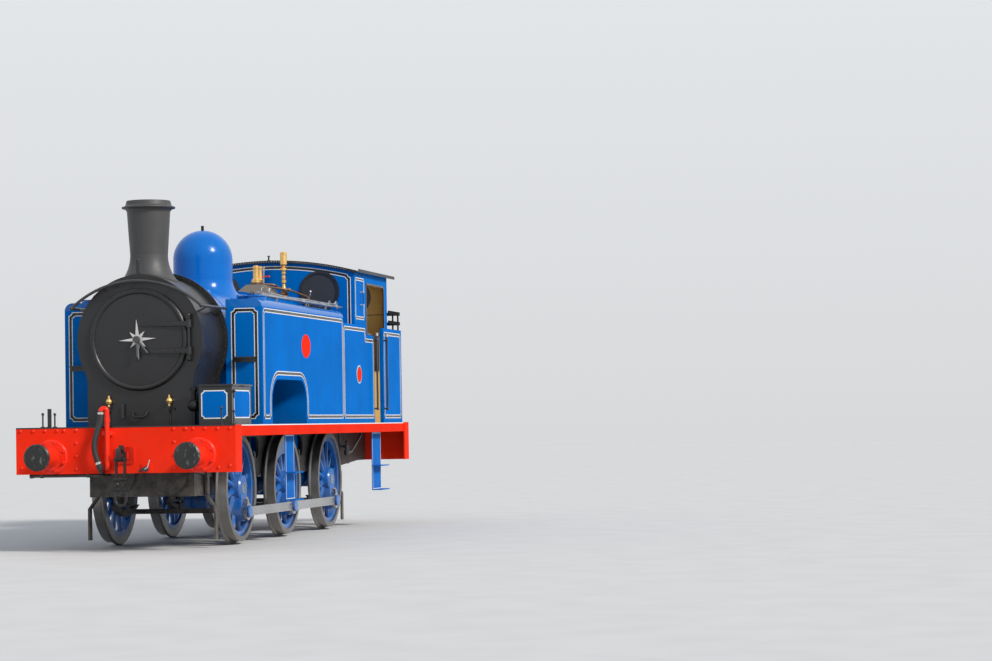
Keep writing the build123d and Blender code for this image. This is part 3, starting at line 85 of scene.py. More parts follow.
# Sheets and fittings: places along X, half widths, heights above the rail, distances behind the beam
front_plate_x = back(0.562)
cab_front_x = back(6.128)
cab_back_x = back(8.056)
bunker_front_x = back(7.600)
firebox_rear_x = back(6.135)
inner_side = 1.158
cab_half_width = 1.170
cab_crown_height = 3.587
cab_eaves_height = 3.430
roof_rise = cab_crown_height - cab_eaves_height
roof_radius = (cab_half_width ** 2 + roof_rise ** 2) / (2 * roof_rise)
roof_centre_z = above_rail(cab_crown_height) - roof_radius
smokebox_centre = 2.378
smokebox_radius = 0.748
buffer_side = 0.870
buffer_height = 1.054
tank_top = 2.859
valve_distance = 5.540
valve_seat = 3.240
whistle_distance = 5.950

# Material building


def new_material(name):
    material = bpy.data.materials.new(name)
    material.use_nodes = True
    tree = material.node_tree
    return material, tree, tree.nodes["Principled BSDF"]


def split_axes(tree, vector):
    """The X, Y and Z outputs of a vector."""
    separate = tree.nodes.new("ShaderNodeSeparateXYZ")
    tree.links.new(vector, separate.inputs["Vector"])
    return separate.outputs


def add_noise(tree, coordinates, scale, detail=4.0, roughness=0.55, stretch=None):
    """A noise texture in object space; stretch squeezes it along each axis."""
    vector = coordinates
    if stretch:
        mapping = tree.nodes.new("ShaderNodeMapping")
        mapping.inputs["Scale"].default_value = stretch
        tree.links.new(coordinates, mapping.inputs["Vector"])
        vector = mapping.outputs["Vector"]
    noise = tree.nodes.new("ShaderNodeTexNoise")
    for key, value in (("Scale", scale), ("Detail", detail), ("Roughness", roughness)):
        noise.inputs[key].default_value = value
    tree.links.new(vector, noise.inputs["Vector"])
    return noise.outputs["Fac"]


def remap(tree, value, low, high, to_low, to_high):
    node = tree.nodes.new("ShaderNodeMapRange")
    limits = {"From Min": low, "From Max": high, "To Min": to_low, "To Max": to_high}
    for key, limit in limits.items():
        node.inputs[key].default_value = limit
    tree.links.new(value, node.inputs["Value"])
    return node.outputs["Result"]


def blend_colours(tree, share, first, second):
    """Mix two colours; each is a tuple or a socket."""
    node = tree.nodes.new("ShaderNodeMix")
    node.data_type = "RGBA"
    tree.links.new(share, node.inputs["Factor"])
    for key, colour in (("A", first), ("B", second)):
        socket = [s for s in node.inputs if s.name == key and s.type == "RGBA"][0]
        if isinstance(colour, tuple):
            socket.default_value = (*colour, 1.0)
        else:
            tree.links.new(colour, socket)
    return [s for s in node.outputs if s.type == "RGBA"][0]


def calculate(tree, operation, *values):
    """A math node; each value is a number or a socket."""
    node = tree.nodes.new("ShaderNodeMath")
    node.operation = operation
    for socket, value in zip(node.inputs, values):
        if isinstance(value, float):
            socket.default_value = value
        else:
            tree.links.new(value, socket)
    return node.outputs[0]


def shade(colour, factor):
    return tuple(min(1.0, c * factor) for c in colour)


def region_mask(tree, coordinates, limits):
    """1 inside all the limits, each (axis, low, high); an axis between bars means its size."""
    axes = split_axes(tree, coordinates)
    mask = None
    for axis, low, high in limits:
        value = axes[axis.strip("|")]
        if axis.startswith("|"):
            value = calculate(tree, "ABSOLUTE", value)
        for limit, operation in ((low, "GREATER_THAN"), (high, "LESS_THAN")):
            test = calculate(tree, operation, value, limit)
            mask = test if mask is None else calculate(tree, "MULTIPLY", mask, test)
    return mask


road_dust = (0.22, 0.19, 0.15)
dust_top = 1.6
scuff_grey = (0.20, 0.20, 0.20)
fresh_coat = 0.8


def surface(name, colour, roughness=0.4, metallic=0.0, coat=0.0, patches=0.16, patch_scale=1.6,
            rough_spread=0.08, grain=0.0, grain_scale=60.0, streaks=0.0, dust=0.0, shine=0.5,
            scuffs=0.0, regions=(), glossy=None):
    """A painted or metal surface with soft patches, rain streaks, road dust low down and grain.

    regions gives places of another colour: each is (colour, limits). glossy gives the limits
    of a part with a fresh, thick coat.
    """
    material, tree, shader = new_material(name)
    coordinates = tree.nodes.new("ShaderNodeTexCoord").outputs["Object"]
    broad = remap(tree, add_noise(tree, coordinates, patch_scale), 0.35, 0.65, 0.0, 1.0)
    colours = blend_colours(tree, broad, shade(colour, 1.0 - patches), shade(colour, 1.0 + patches))
    if streaks > 0.0:
        lines = add_noise(tree, coordinates, 3.0, 5.0, 0.6, (5.0, 5.0, 0.25))
        pale = tuple(0.75 * c + 0.10 for c in colour)
        colours = blend_colours(tree, remap(tree, lines, 0.52, 0.75, 0.0, streaks), colours, pale)
    if dust > 0.0:
        low = remap(tree, split_axes(tree, coordinates)["Z"], 0.1, dust_top, 1.0, 0.0)
        speckle = remap(tree, add_noise(tree, coordinates, 9.0, 6.0, 0.65), 0.35, 0.75, 0.0, dust)
        colours = blend_colours(tree, calculate(tree, "MULTIPLY", low, speckle), colours, road_dust)
    if scuffs > 0.0:
        marks = add_noise(tree, coordinates, 11.0, 6.0, 0.7, (1.0, 2.2, 1.0))
        colours = blend_colours(tree, remap(tree, marks, 0.58, 0.64, 0.0, scuffs), colours, scuff_grey)
    for region_colour, limits in regions:
        colours = blend_colours(tree, region_mask(tree, coordinates, limits), colours, region_colour)
    tree.links.new(colours, shader.inputs["Base Color"])
    fine = add_noise(tree, coordinates, patch_scale * 4.0)
    smoothest = max(0.03, roughness - rough_spread)
    rough = remap(tree, fine, 0.3, 0.7, smoothest, roughness + rough_spread)
    tree.links.new(rough, shader.inputs["Roughness"])
    shader.inputs["Specular IOR Level"].default_value = shine
    shader.inputs["Metallic"].default_value = metallic
    shader.inputs["Coat Weight"].default_value = coat
    shader.inputs["Coat Roughness"].default_value = 0.10
    if glossy:
        thick = remap(tree, region_mask(tree, coordinates, glossy), 0.0, 1.0, coat, fresh_coat)
        tree.links.new(thick, shader.inputs["Coat Weight"])
    if grain > 0.0:
        bump = tree.nodes.new("ShaderNodeBump")
        bump.inputs["Strength"].default_value = grain
        bump.inputs["Distance"].default_value = 0.004
        tree.links.new(add_noise(tree, coordinates, grain_scale, 3.0), bump.inputs["Height"])
        tree.links.new(bump.outputs["Normal"], shader.inputs["Normal"])
    return material


# Limits of a region: between heights, between places along the engine, and near its middle


def heights(low, high):
    return ("Z", above_rail(low), above_rail(high))


def lengths(rear, front):
    return ("X", back(rear), back(front))


def within(half_width):
    return ("|Y|", 0.0, half_width)


# Colours

blue = (0.0, 0.128, 0.47)
vermilion = (0.84, 0.026, 0.007)
black = (0.012, 0.012, 0.013)
soot = (0.014, 0.014, 0.015)
white = (0.72, 0.73, 0.74)
brass = (0.80, 0.50, 0.17)
# Painted light: the ochre of the cab's inside keeps its paint's hue but is made brighter, standing for sun
# falling in through the side openings
cab_ochre_painted_light = (0.98, 0.62, 0.20)
coal_dust = (0.018, 0.017, 0.016)
lagging = (0.17, 0.15, 0.13)
planks = (0.16, 0.10, 0.055)
pale_steel = (0.50, 0.51, 0.52)
dull_steel = (0.060, 0.060, 0.064)

# Paints and metals


def paint_blue(name, regions=(), dust=0.25, coat=0.05, shine=0.0, glossy=None):
    return surface(
        name, blue, 0.24, coat=coat, patches=0.08, streaks=0.04, dust=dust, grain=0.04,
        grain_scale=14.0, shine=shine, regions=regions, glossy=glossy
    )


def paint_red(name, colour, coat, shine=0.0):
    return surface(
        name, colour, 0.28, coat=coat, patches=0.08, dust=0.15, grain=0.06, grain_scale=18.0,
        shine=shine
    )


def cast_brass(name, metallic=0.75, regions=()):
    return surface(name, brass, 0.34, metallic=metallic, patches=0.15, patch_scale=9.0, regions=regions)


blue_paint = paint_blue("blue_paint", glossy=[heights(2.768, 3.0)])
cab_side_paint = paint_blue("cab_side_paint", [
    (cab_ochre_painted_light, [within(inner_side), ("X", cab_back_x, cab_front_x - 0.012)]),
    (black, [lengths(7.900, 7.876), heights(2.59, 3.31), within(1.1685)]),
])
cab_front_paint = paint_blue("cab_front_paint", [
    (cab_ochre_painted_light, [("X", cab_back_x, cab_front_x - 0.008), within(inner_side - 0.02)]),
], dust=0.0)
cab_back_paint = paint_blue("cab_back_paint", [
    (cab_ochre_painted_light, [("X", cab_back_x + 0.008, cab_front_x)]),
], dust=0.0)
coal_front_x = bunker_front_x - 0.006
bunker_paint = paint_blue("bunker_paint", [
    (coal_dust, [within(inner_side), ("X", back(8.74), coal_front_x), heights(1.39, 2.72)]),
    (cab_ochre_painted_light, [within(inner_side), ("X", coal_front_x, cab_front_x)]),
    (black, [heights(2.712, 3.10)]),
])
firebox_paint = paint_blue("firebox_paint", [
    (lagging, [heights(3.095, 3.3), within(0.45), lengths(valve_distance + 0.45, valve_distance - 0.45)]),
    (black, [("X", back(6.7), firebox_rear_x)]),
])
round_paint = paint_blue("round_paint", dust=0.0, coat=0.10, shine=0.18)
dome_paint = paint_blue("dome_paint", [
    (black, [heights(3.72, 3.9), within(0.03), lengths(3.100, 3.040)]),
], dust=0.0, coat=0.10, shine=0.18)
red_paint = paint_red("red_paint", vermilion, 0.06)
round_red = paint_red("round_red", vermilion, 0.12, 0.22)
# Painted shade: the valences' red is the beam's vermilion made darker, a shaded copy of the same paint
side_red_painted_shade = paint_red("side_red_painted_shade", shade(vermilion, 0.84), 0.04)
red_spot = surface("red_spot", vermilion, 0.3, coat=0.04, patches=0.05, shine=0.0)
white_line = surface("white_line", white, 0.35, patches=0.05, dust=0.25)
black_line = surface("black_line", black, 0.3, coat=0.2, patches=0.1, shine=0.35)
black_paint = surface("black_paint", black, 0.32, coat=0.3, patches=0.3, dust=0.3)
# Painted highlight: the white band along the running plate's outer edge, |Y| 1.268 to 1.280, stands for
# light caught by that edge
footplate_paint = surface("footplate_paint", black, 0.45, patches=0.3, dust=0.3, regions=[
    (white, [("|Y|", 1.268, 1.280), ("X", -4.15, 4.15)]),
    (planks, [("X", bunker_front_x, cab_front_x), within(1.15)]),
])
chassis_black = surface("chassis_black", (0.016, 0.016, 0.017), 0.5, patches=0.35, dust=0.8, grain=0.15)
smokebox_black = surface(
    "smokebox_black", soot, 0.36, patches=0.14, grain=0.08, grain_scale=25.0, rough_spread=0.1
)
# Painted sheen: the chimney's black is lighter than the smokebox's soot, standing for the shine on its
# surface
chimney_black_painted_sheen = surface(
    "chimney_black_painted_sheen", (0.045, 0.045, 0.046), 0.5, patches=0.12, grain=0.08, grain_scale=25.0,
    rough_spread=0.1
)
roof_black = surface("roof_black", (0.045, 0.045, 0.047), 0.62, patches=0.25, grain=0.2)
buffer_black = surface("buffer_black", (0.014, 0.014, 0.014), 0.34, patches=0.4, grain=0.3, scuffs=0.5)
wheel_blue = surface("wheel_blue", blue, 0.32, coat=0.2, patches=0.1, dust=0.7, shine=0.4)
tyre_steel = surface("tyre_steel", (0.25, 0.245, 0.24), 0.38, metallic=0.9, patches=0.2, dust=0.5)
rod_steel = surface("rod_steel", (0.50, 0.50, 0.50), 0.28, metallic=1.0, patches=0.12, grain=0.05)
drawgear_steel = surface(
    "drawgear_steel", (0.035, 0.034, 0.034), 0.34, metallic=0.5, patches=0.4, grain=0.2,
    regions=[(vermilion, [("|X|", 4.0, beam_face_x + 0.036)])]
)
dark_steel = surface("dark_steel", dull_steel, 0.40, metallic=0.6, patches=0.3)
grip_sides = ("|Y|", 1.172, 1.30)
handrail_steel = surface("handrail_steel", dull_steel, 0.40, metallic=0.4, patches=0.3, regions=[
    (pale_steel, [("|Y|", 1.20, 1.30), heights(2.578, 2.70)]),
    (blue, [grip_sides, heights(2.95, 3.20)]),
    (pale_steel, [grip_sides, heights(3.145, 3.20)]),
    (pale_steel, [grip_sides, heights(2.95, 2.995)]),
])
iron_steel = surface("iron_steel", (0.36, 0.37, 0.39), 0.42, metallic=0.7, patches=0.35, patch_scale=4.0)
star_metal = surface(
    "star_metal", (0.60, 0.60, 0.585), 0.42, metallic=0.3, patches=0.08, patch_scale=8.0,
    regions=[((0.07, 0.07, 0.072), [("X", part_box("door_star")[0].x + 0.016, 4.1)])]
)
polished_steel = surface(
    "polished_steel", (0.72, 0.71, 0.69), 0.24, metallic=0.9, patches=0.12, grain=0.05
)
brass_metal = cast_brass("brass_metal")
lubricator_metal = cast_brass("lubricator_metal", 0.6, [((0.020, 0.020, 0.022), [("Y", 0.48, 1.0)])])
valve_metal = cast_brass("valve_metal", regions=[((0.16, 0.10, 0.06), [heights(3.0, 3.27)])])
bronze = surface("bronze", (0.26, 0.15, 0.08), 0.42, metallic=0.8, patches=0.3, patch_scale=7.0)
hose_rubber = surface("hose_rubber", (0.022, 0.023, 0.024), 0.6, patches=0.3, grain=0.4, grain_scale=40.0)


def glass_material():
    material, tree, shader = new_material("window_glass")
    shader.inputs["Base Color"].default_value = (0.05, 0.055, 0.06, 1.0)
    shader.inputs["Roughness"].default_value = 0.06
    shader.inputs["Alpha"].default_value = 0.82
    return material


window_glass = glass_material()

for material, node_names in (
    (wheel_blue, ["leading_wheels", "driving_wheels", "trailing_wheels"]),
    (tyre_steel, ["leading_tyres", "driving_tyres", "trailing_tyres"]),
    (rod_steel, ["left_coupling_rod", "right_coupling_rod"]),
    (chassis_black, ["frames", "axleboxes", "cylinder_block", "brake_gear"]),
    (red_paint, ["front_beam", "rear_beam"]),
    (round_red, ["buffer_stocks", "vacuum_pipes"]),
    (side_red_painted_shade, ["valences"]),
    (buffer_black, ["buffer_heads"]),
    (drawgear_steel, ["drawgear"]),
    (footplate_paint, ["footplate"]),
    (black_paint, ["lamp_irons", "tank_steps", "window_rims", "footplate_box", "box_lid"]),
    (blue_paint, ["footsteps", "side_tanks", "left_tank_lid", "right_tank_lid"]),
    (smokebox_black, ["smokebox", "smokebox_door", "blast_pipe"]),
    (star_metal, ["door_star"]),
    (chimney_black_painted_sheen, ["chimney", "chimney_cap"]),
    (dome_paint, ["dome"]),
    (round_paint, ["boiler"]),
    (firebox_paint, ["firebox"]),
    (valve_metal, ["safety_valve"]),
    (brass_metal, ["whistle"]),
    (cab_front_paint, ["cab_front"]),
    (cab_back_paint, ["cab_back"]),
    (cab_side_paint, ["cab_sides"]),
    (roof_black, ["cab_roof"]),
    (window_glass, ["window_glass"]),
    (bunker_paint, ["bunker"]),
    (handrail_steel, ["handrails"]),
    (dark_steel, ["hose_plugs"]),
    (hose_rubber, ["front_brake_hose", "rear_brake_hose"]),
    (lubricator_metal, ["lubricators"]),
    (iron_steel, ["fire_irons"]),
):
    for node_name in node_names:
        nodes[node_name].data.materials.clear()
        nodes[node_name].data.materials.append(material)

# Mesh building


def square_to(along):
    """A direction square to another."""
    helper = Vector((0.0, 0.0, 1.0)) if abs(along.z) < 0.9 else Vector((1.0, 0.0, 0.0))
    return along.cross(helper).normalized()


def circle(centre, radius, side, other, segments):
    """Points round a circle in the plane of two directions."""
    angles = [2 * math.pi * index / segments for index in range(segments)]
    return [centre + radius * (math.cos(a) * side + math.sin(a) * other) for a in angles]


class Shape:
    """Vertices and faces of one joined mesh."""

    def __init__(self):
        self.verts = []
        self.faces = []

    def add(self, verts, faces):
        start = len(self.verts)
        self.verts.extend(Vector(v) for v in verts)
        self.faces.extend(tuple(start + i for i in face) for face in faces)

    def box(self, low, high):
        verts = [(x, y, z) for x in (low[0], high[0]) for y in (low[1], high[1]) for z in (low[2], high[2])]
        faces = [(0, 1, 3, 2), (4, 6, 7, 5), (0, 4, 5, 1), (2, 3, 7, 6), (0, 2, 6, 4), (1, 5, 7, 3)]
        self.add(verts, faces)

    def skin(self, rings):
        """Cover a row of rings, each of as many points, and close both ends."""
        count = len(rings[0])
        last = (len(rings) - 1) * count
        faces = []
        for near in range(0, last, count):
            far = near + count
            for step in range(count):
                after = (step + 1) % count
                faces.append((near + step, near + after, far + after, far + step))
        faces.append(tuple(range(count)))
        faces.append(tuple(range(last, last + count)))
        self.add([point for ring in rings for point in ring], faces)

    def turned(self, profile, origin, axis, segments=24):
        """Turn a list of (radius, distance along the axis) about an axis."""
        axis = Vector(axis).normalized()
        side = square_to(axis)
        other = axis.cross(side)
        self.skin([
            circle(Vector(origin) + distance * axis, radius, side, other, segments)
            for radius, distance in profile
        ])

    def tube(self, points, radius, segments=8):
        """Round bar that follows points."""
        points = [Vector(p) for p in points]
        side = square_to((points[1] - points[0]).normalized())
        rings = []
        for index, point in enumerate(points):
            before = points[max(index - 1, 0)]
            after = points[min(index + 1, len(points) - 1)]
            along = (after - before).normalized()
            side = (side - along * side.dot(along)).normalized()
            rings.append(circle(point, radius, side, along.cross(side), segments))
        self.skin(rings)

    def bent(self, points, radius, segments=10):
        """Round bar along points, its corners rounded off."""
        path = [Vector(points[0])]
        for before, here, after in zip(points, points[1:], points[2:]):
            before, here, after = Vector(before), Vector(here), Vector(after)
            reach = min(0.03, (here - before).length / 2, (after - here).length / 2)
            start = here + reach * (before - here).normalized()
            end = here + reach * (after - here).normalized()
            for step in range(5):
                t = step / 4
                path.append((1 - t) ** 2 * start + 2 * t * (1 - t) * here + t * t * end)
        path.append(Vector(points[-1]))
        self.tube(path, radius, segments)

    def rivet(self, centre, normal, radius, height=None):
        """Low domed head standing on a surface."""
        height = height or radius * 0.6
        self.turned([
            (radius, -0.002),
            (radius, height * 0.15),
            (radius * 0.86, height * 0.55),
            (radius * 0.5, height * 0.9),
            (radius * 0.12, height),
        ], centre, normal, 8)

    def hexagon(self, centre, normal, radius, height):
        """Bolt head with a washer."""
        self.turned([(radius * 1.35, -0.002), (radius * 1.35, height * 0.25)], centre, normal, 16)
        self.turned([(radius, 0.0), (radius, height * 0.9), (radius * 0.8, height)], centre, normal, 6)

    def strip(self, plane, outer, inner, height, closed=True):
        """Flat band between two lines on a plane, standing a little proud."""
        count = len(outer)
        verts = []
        for line in (outer, inner):
            for level in (-height, height):
                verts.extend(plane(u, v, level) for u, v in line)
        faces = []
        outer_low, outer_high, inner_low, inner_high = (k * count for k in range(4))
        for a in range(count if closed else count - 1):
            b = (a + 1) % count
            for one, two in (
                (outer_high, inner_high), (outer_low, inner_low),
                (outer_low, outer_high), (inner_low, inner_high),
            ):
                faces.append((one + a, one + b, two + b, two + a))
        if not closed:
            for a in (0, count - 1):
                faces.append((outer_low + a, outer_high + a, inner_high + a, inner_low + a))
        self.add(verts, faces)

    def plate(self, plane, outline, height):
        """Flat sheet with an outline on a plane, standing proud of it."""
        self.skin([[plane(u, v, level) for u, v in outline] for level in (0.0, height)])

    def place(self, name, material, body="chassis", bevel=0.0):
        """Make an object, with outward faces, that rides on a body."""
        mesh = bpy.data.meshes.new(name)
        mesh.from_pydata([tuple(v) for v in self.verts], [], self.faces)
        work = bmesh.new()
        work.from_mesh(mesh)
        bmesh.ops.recalc_face_normals(work, faces=work.faces)
        work.to_mesh(mesh)
        work.free()
        mesh.shade_smooth()
        mesh.set_sharp_from_angle(angle=math.radians(40.0))
        mesh.materials.append(material)
        obj = add_object(name, mesh)
        if bevel > 0.0:
            modifier = obj.modifiers.new("edges", "BEVEL")
            modifier.width = bevel
            modifier.segments = 2
            modifier.limit_method = "ANGLE"
        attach(obj, body)
        return obj


trees = {}


def meet(node_name, origin, direction):
    """Where a line from origin first meets a CAD node."""
    if node_name not in trees:
        mesh = nodes[node_name].data
        trees[node_name] = BVHTree.FromPolygons(
            [v.co for v in mesh.vertices], [tuple(p.vertices) for p in mesh.polygons]
        )
    return trees[node_name].ray_cast(Vector(origin), Vector(direction))[0]


def middle_and_top(node_name):
    """Middle of a node's box, and its upper corner."""
    low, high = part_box(node_name)
    return (low + high) / 2, high


# Lines on a plane: (u, v) points


def rectangle(u_start, v_low, u_end, v_high):
    return [(u_start, v_low), (u_end, v_low), (u_end, v_high), (u_start, v_high)]


def side_panel(near, low, far, high):
    """Rectangle on a side sheet, from distances behind the beam and heights above the rail."""
    return rectangle(back(near), above_rail(low), back(far), above_rail(high))


def ellipse(centre, half_u, half_v, steps=40):
    angles = [2 * math.pi * index / steps for index in range(steps)]
    return [(centre[0] + half_u * math.cos(a), centre[1] + half_v * math.sin(a)) for a in angles]


def arc(centre, radius, start, end, steps=8):
    """Points of an arc, angles in degrees."""
    angles = [math.radians(start + (end - start) * index / steps) for index in range(steps + 1)]
    return [(centre[0] + radius * math.cos(a), centre[1] + radius * math.sin(a)) for a in angles]


def turn_sign(points):
    area = 0.0
    for (u, v), (u_next, v_next) in zip(points, points[1:] + points[:1]):
        area += u * v_next - u_next * v
    return 1.0 if area > 0 else -1.0


def offset_line(points, distance, closed=True):
    """Move a line sideways by mitred corners; positive is inwards in a loop."""
    sign = turn_sign(points) if closed else 1.0
    count = len(points)
    moved = []
    for index in range(count):
        here = Vector(points[index])
        before = Vector(points[(index - 1) % count]) if closed or index > 0 else None
        after = Vector(points[(index + 1) % count]) if closed or index < count - 1 else None
        first = (here - before).normalized() if before is not None else (after - here).normalized()
        second = (after - here).normalized() if after is not None else first
        normal_a = Vector((-first.y, first.x)) * sign
        normal_b = Vector((-second.y, second.x)) * sign
        middle = (normal_a + normal_b).normalized()
        reach = distance / max(0.35, middle.dot(normal_a))
        moved.append(tuple(here + reach * middle))
    return moved


def notched(points, size, corners=None):
    """Cut the named corners of a loop, or all of them, by small incurved arcs."""
    result = []
    count = len(points)
    for index, point in enumerate(points):
        if corners is not None and index not in corners:
            result.append(point)
            continue
        here = Vector(point)
        before = (Vector(points[(index - 1) % count]) - here).normalized()
        after = (Vector(points[(index + 1) % count]) - here).normalized()
        for step in range(5):
            angle = math.radians(90 * step / 4)
            result.append(tuple(here + size * (math.cos(angle) * before + math.sin(angle) * after)))
    return result


def rounded(points, radius, steps=6):
    """Round the inner corners of an open line; also give each corner's own two lines."""
    line = [points[0]]
    corners = []
    for before, point, after in zip(points, points[1:], points[2:]):
        here = Vector(point)
        back_way = (Vector(before) - here).normalized() * radius
        on_way = (Vector(after) - here).normalized() * radius
        curve = []
        square = []
        for step in range(steps + 1):
            turn = math.pi / 2 * step / steps
            curve.append(tuple(here + back_way * (1 - math.sin(turn)) + on_way * (1 - math.cos(turn))))
            share = 2.0 * step / steps
            square.append(tuple(here + back_way * max(0.0, 1 - share) + on_way * max(0.0, share - 1)))
        line.extend(curve)
        corners.append((square, curve))
    line.append(points[-1])
    return line, corners


def front_plane(x):
    return lambda u, v, h: (x + h, u, v)


def rear_plane(x):
    return lambda u, v, h: (x - h, u, v)


def side_plane(y, side):
    return lambda u, v, h: (u, side * (y + h), v)


paint_height = 0.0012
line_materials = {"white": white_line, "black": black_line}
full_lining = [(0.0, 0.010, "white"), (0.010, 0.040, "black"), (0.040, 0.050, "white")]
narrow_lining = [(0.0, 0.010, "white"), (0.010, 0.032, "black"), (0.032, 0.042, "white")]


def line_out(name, plane, loop, closed=True, parts=full_lining):
    """Painted lining: bands side by side along one line."""
    for colour, material in line_materials.items():
        bands = Shape()
        for start, end, part_colour in parts:
            if part_colour == colour:
                near, far = (offset_line(loop, distance, closed) for distance in (start, end))
                bands.strip(plane, near, far, paint_height, closed)
        if bands.faces:
            bands.place(name + "_" + colour, material)


# Brake hoses: the route's points, ahead of the beam, side and height above the rail

hose_diameter = 0.065
hose_route = [
    (0.075, -0.254, 1.560),
    (0.075, -0.254, 1.490),
    (0.079, -0.268, 1.415),
    (0.090, -0.300, 1.320),
    (0.100, -0.327, 1.215),
    (0.100, -0.327, 1.120),
    (0.093, -0.303, 1.030),
    (0.084, -0.277, 0.955),
]


def make_hose(name, end):
    """Free hose at one end of the locomotive: end is 1 at the front, -1 at the rear."""
    points = [
        Vector((end * (beam_face_x + ahead), end * side, above_rail(height)))
        for ahead, side, height in hose_route
    ]
    curve = bpy.data.curves.new(name, "CURVE")
    curve.dimensions = "3D"
    spline = curve.splines.new("NURBS")
    spline.points.add(len(points) - 1)
    for point, place_at in zip(spline.points, points):
        point.co = (*place_at, 1.0)
    spline.order_u = 3
    spline.use_endpoint_u = True
    spline.resolution_u = 8
    curve.bevel_depth = hose_diameter / 2
    curve.bevel_resolution = 6
    curve.use_fill_caps = True
    curve.materials.append(hose_rubber)
    hose = add_object(name, curve)
    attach(hose, "chassis")
    clamps = Shape()
    outer = hose_diameter / 2 + 0.004
    inner = hose_diameter / 2 - 0.004
    ring = [(inner, -0.013), (outer, -0.012), (outer, 0.012), (inner, 0.013)]
    lug_half = Vector((0.010, 0.012, 0.011))
    for start, towards, distance in (
        (points[0], points[1], 0.022),
        (points[-1], points[-2], 0.025),
    ):
        along = (towards - start).normalized()
        middle = start + distance * along
        clamps.turned(ring, middle, along, 28)
        lug = middle + Vector((end * outer, 0.0, 0.0))
        clamps.box(lug - lug_half, lug + lug_half)
    clamp = clamps.place(name + "_clamps", polished_steel, bevel=0.0015)
    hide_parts(name.replace("_route", ""))


make_hose("front_brake_hose_route", 1)
make_hose("rear_brake_hose_route", -1)

# Lining of tanks, cab and bunker; the heights are above the rail

panel_bottom = 1.447
tank_panel_top = 2.752
cab_panel_top = 2.668
bunker_panel_top = 2.655
tank_side_y = tank_high.y
notch_size = 0.042


def tank_side_loop():
    """Outline of a tank's side panel, up and over the arch."""
    arch_radius = 0.33
    loop = [on_side(1.476, panel_bottom), on_side(1.790, panel_bottom)]
    loop += arc(on_side(2.12, 1.64), arch_radius, 0, 90)
    loop += arc(on_side(3.13, 1.64), arch_radius, 90, 180)
    loop += [on_side(3.460, panel_bottom), on_side(5.318, panel_bottom)]
    loop += [on_side(5.318, tank_panel_top), on_side(1.476, tank_panel_top)]
    count = len(loop)
    return notched(loop, notch_size, {0, 1, count - 4, count - 3, count - 2, count - 1})


def line_sides():
    """Lining on the sides of tanks, cab and bunker, the tanks' fronts and the bunker's rear."""
    tank_front = notched(rectangle(0.835, above_rail(1.45), 1.163, above_rail(tank_panel_top)), notch_size)
    cab_lower = [
        on_side(5.345, panel_bottom),
        on_side(7.045, panel_bottom),
        on_side(7.045, 2.531),
        on_side(6.590, 2.531),
        on_side(6.545, cab_panel_top),
        on_side(5.345, cab_panel_top),
    ]
    cab_upper = notched(side_panel(6.185, 2.785, 6.705, 3.350), 0.035)
    bunker = side_panel(7.650, panel_bottom, 8.700, bunker_panel_top)
    rear = rectangle(-1.15, above_rail(panel_bottom), 1.15, above_rail(bunker_panel_top))
    for side, name in side_names:
        plane = side_plane(tank_side_y, side)
        line_out(name + "_tank_lining", plane, tank_side_loop())
        mirrored = [(side * y, z) for y, z in tank_front]
        line_out(name + "_tank_front_lining", front_plane(tank_high.x), mirrored)
        line_out(name + "_cab_lining", plane, notched(cab_lower, notch_size, {0, 1, 2, 5}))
        line_out(name + "_bunker_lining", plane, notched(bunker, notch_size))
        upper_plane = side_plane(cab_half_width, side)
        line_out(name + "_cab_upper_lining", upper_plane, cab_upper, parts=narrow_lining)
    line_out("bunker_rear_lining", rear_plane(bunker_rear_x), notched(rear, notch_size))


def line_cab_front():
    """Lining round the cab front, under the roof's arc and down both sides."""
    half = cab_half_width - 0.044
    radius = roof_radius - 0.062
    half_angle = math.degrees(math.asin((half - notch_size) / radius))
    over = arc((0.0, roof_centre_z), radius, 90 - half_angle, 90 + half_angle, 28)
    corner_z = over[0][1]
    notch = [
        (half - notch_size * math.cos(math.radians(a)), corner_z - notch_size * math.sin(math.radians(a)))
        for a in (90, 67, 45, 22, 0)
    ]
    right_side = [(half, above_rail(2.715))] + notch
    left_side = [(-u, v) for u, v in reversed(right_side)]
    path = right_side + over[1:-1] + left_side
    line_out("cab_front_lining", front_plane(cab_front_x), path, closed=False)


def make_side_marks():
    """Plain red disc on each tank and a small blank oval plate on each cab side."""
    for side, name in side_names:
        plane = side_plane(tank_side_y, side)
        disc = Shape()
        disc.plate(plane, ellipse(on_side(3.42, 2.348), 0.215, 0.146), paint_height)
        disc.place(name + "_tank_disc", red_spot)
        for part, inset, height, material in (
            ("edge", 0.0, 0.004, white_line),
            ("ring", 0.012, 0.006, black_line),
            ("face", 0.030, 0.008, red_spot),
        ):
            oval = Shape()
            oval.plate(plane, ellipse(on_side(6.18, 2.037), 0.14 - inset, 0.122 - inset), height)
            oval.place(name + "_cab_plate_" + part, material, bevel=0.001)


def make_box_panels():
    """Blue panels with one white line on the running plate's box."""
    front = rectangle(0.786, above_rail(1.456), 1.096, above_rail(1.780))
    side = side_panel(0.440, 1.460, 1.085, 1.780)
    for name, plane, corners in (
        ("front", front_plane(back(0.360)), front),
        ("side", side_plane(1.150, 1), side),
    ):
        loop = notched(corners, 0.030)
        panel = Shape()
        panel.plate(plane, loop, 0.0008)
        panel.place("box_panel_" + name, blue_paint)
        line_out("box_line_" + name, plane, loop, parts=[(0.0, 0.013, "white")])


def make_step_lines():
    """White edge round each blue step plate."""
    for distance, width, name in ((2.770, 0.390, "front"), (7.330, 0.500, "cab")):
        half = width / 2 - 0.006
        loop = side_panel(distance - half, 0.475, distance + half, 1.250)
        for side, side_name in side_names:
            plane = side_plane(1.160, side)
            line_out(side_name + "_" + name + "_step_line", plane, loop, parts=[(0.0, 0.010, "white")])


line_sides()
line_cab_front()
make_side_marks()
make_box_panels()
make_step_lines()

# Rivets and bolts


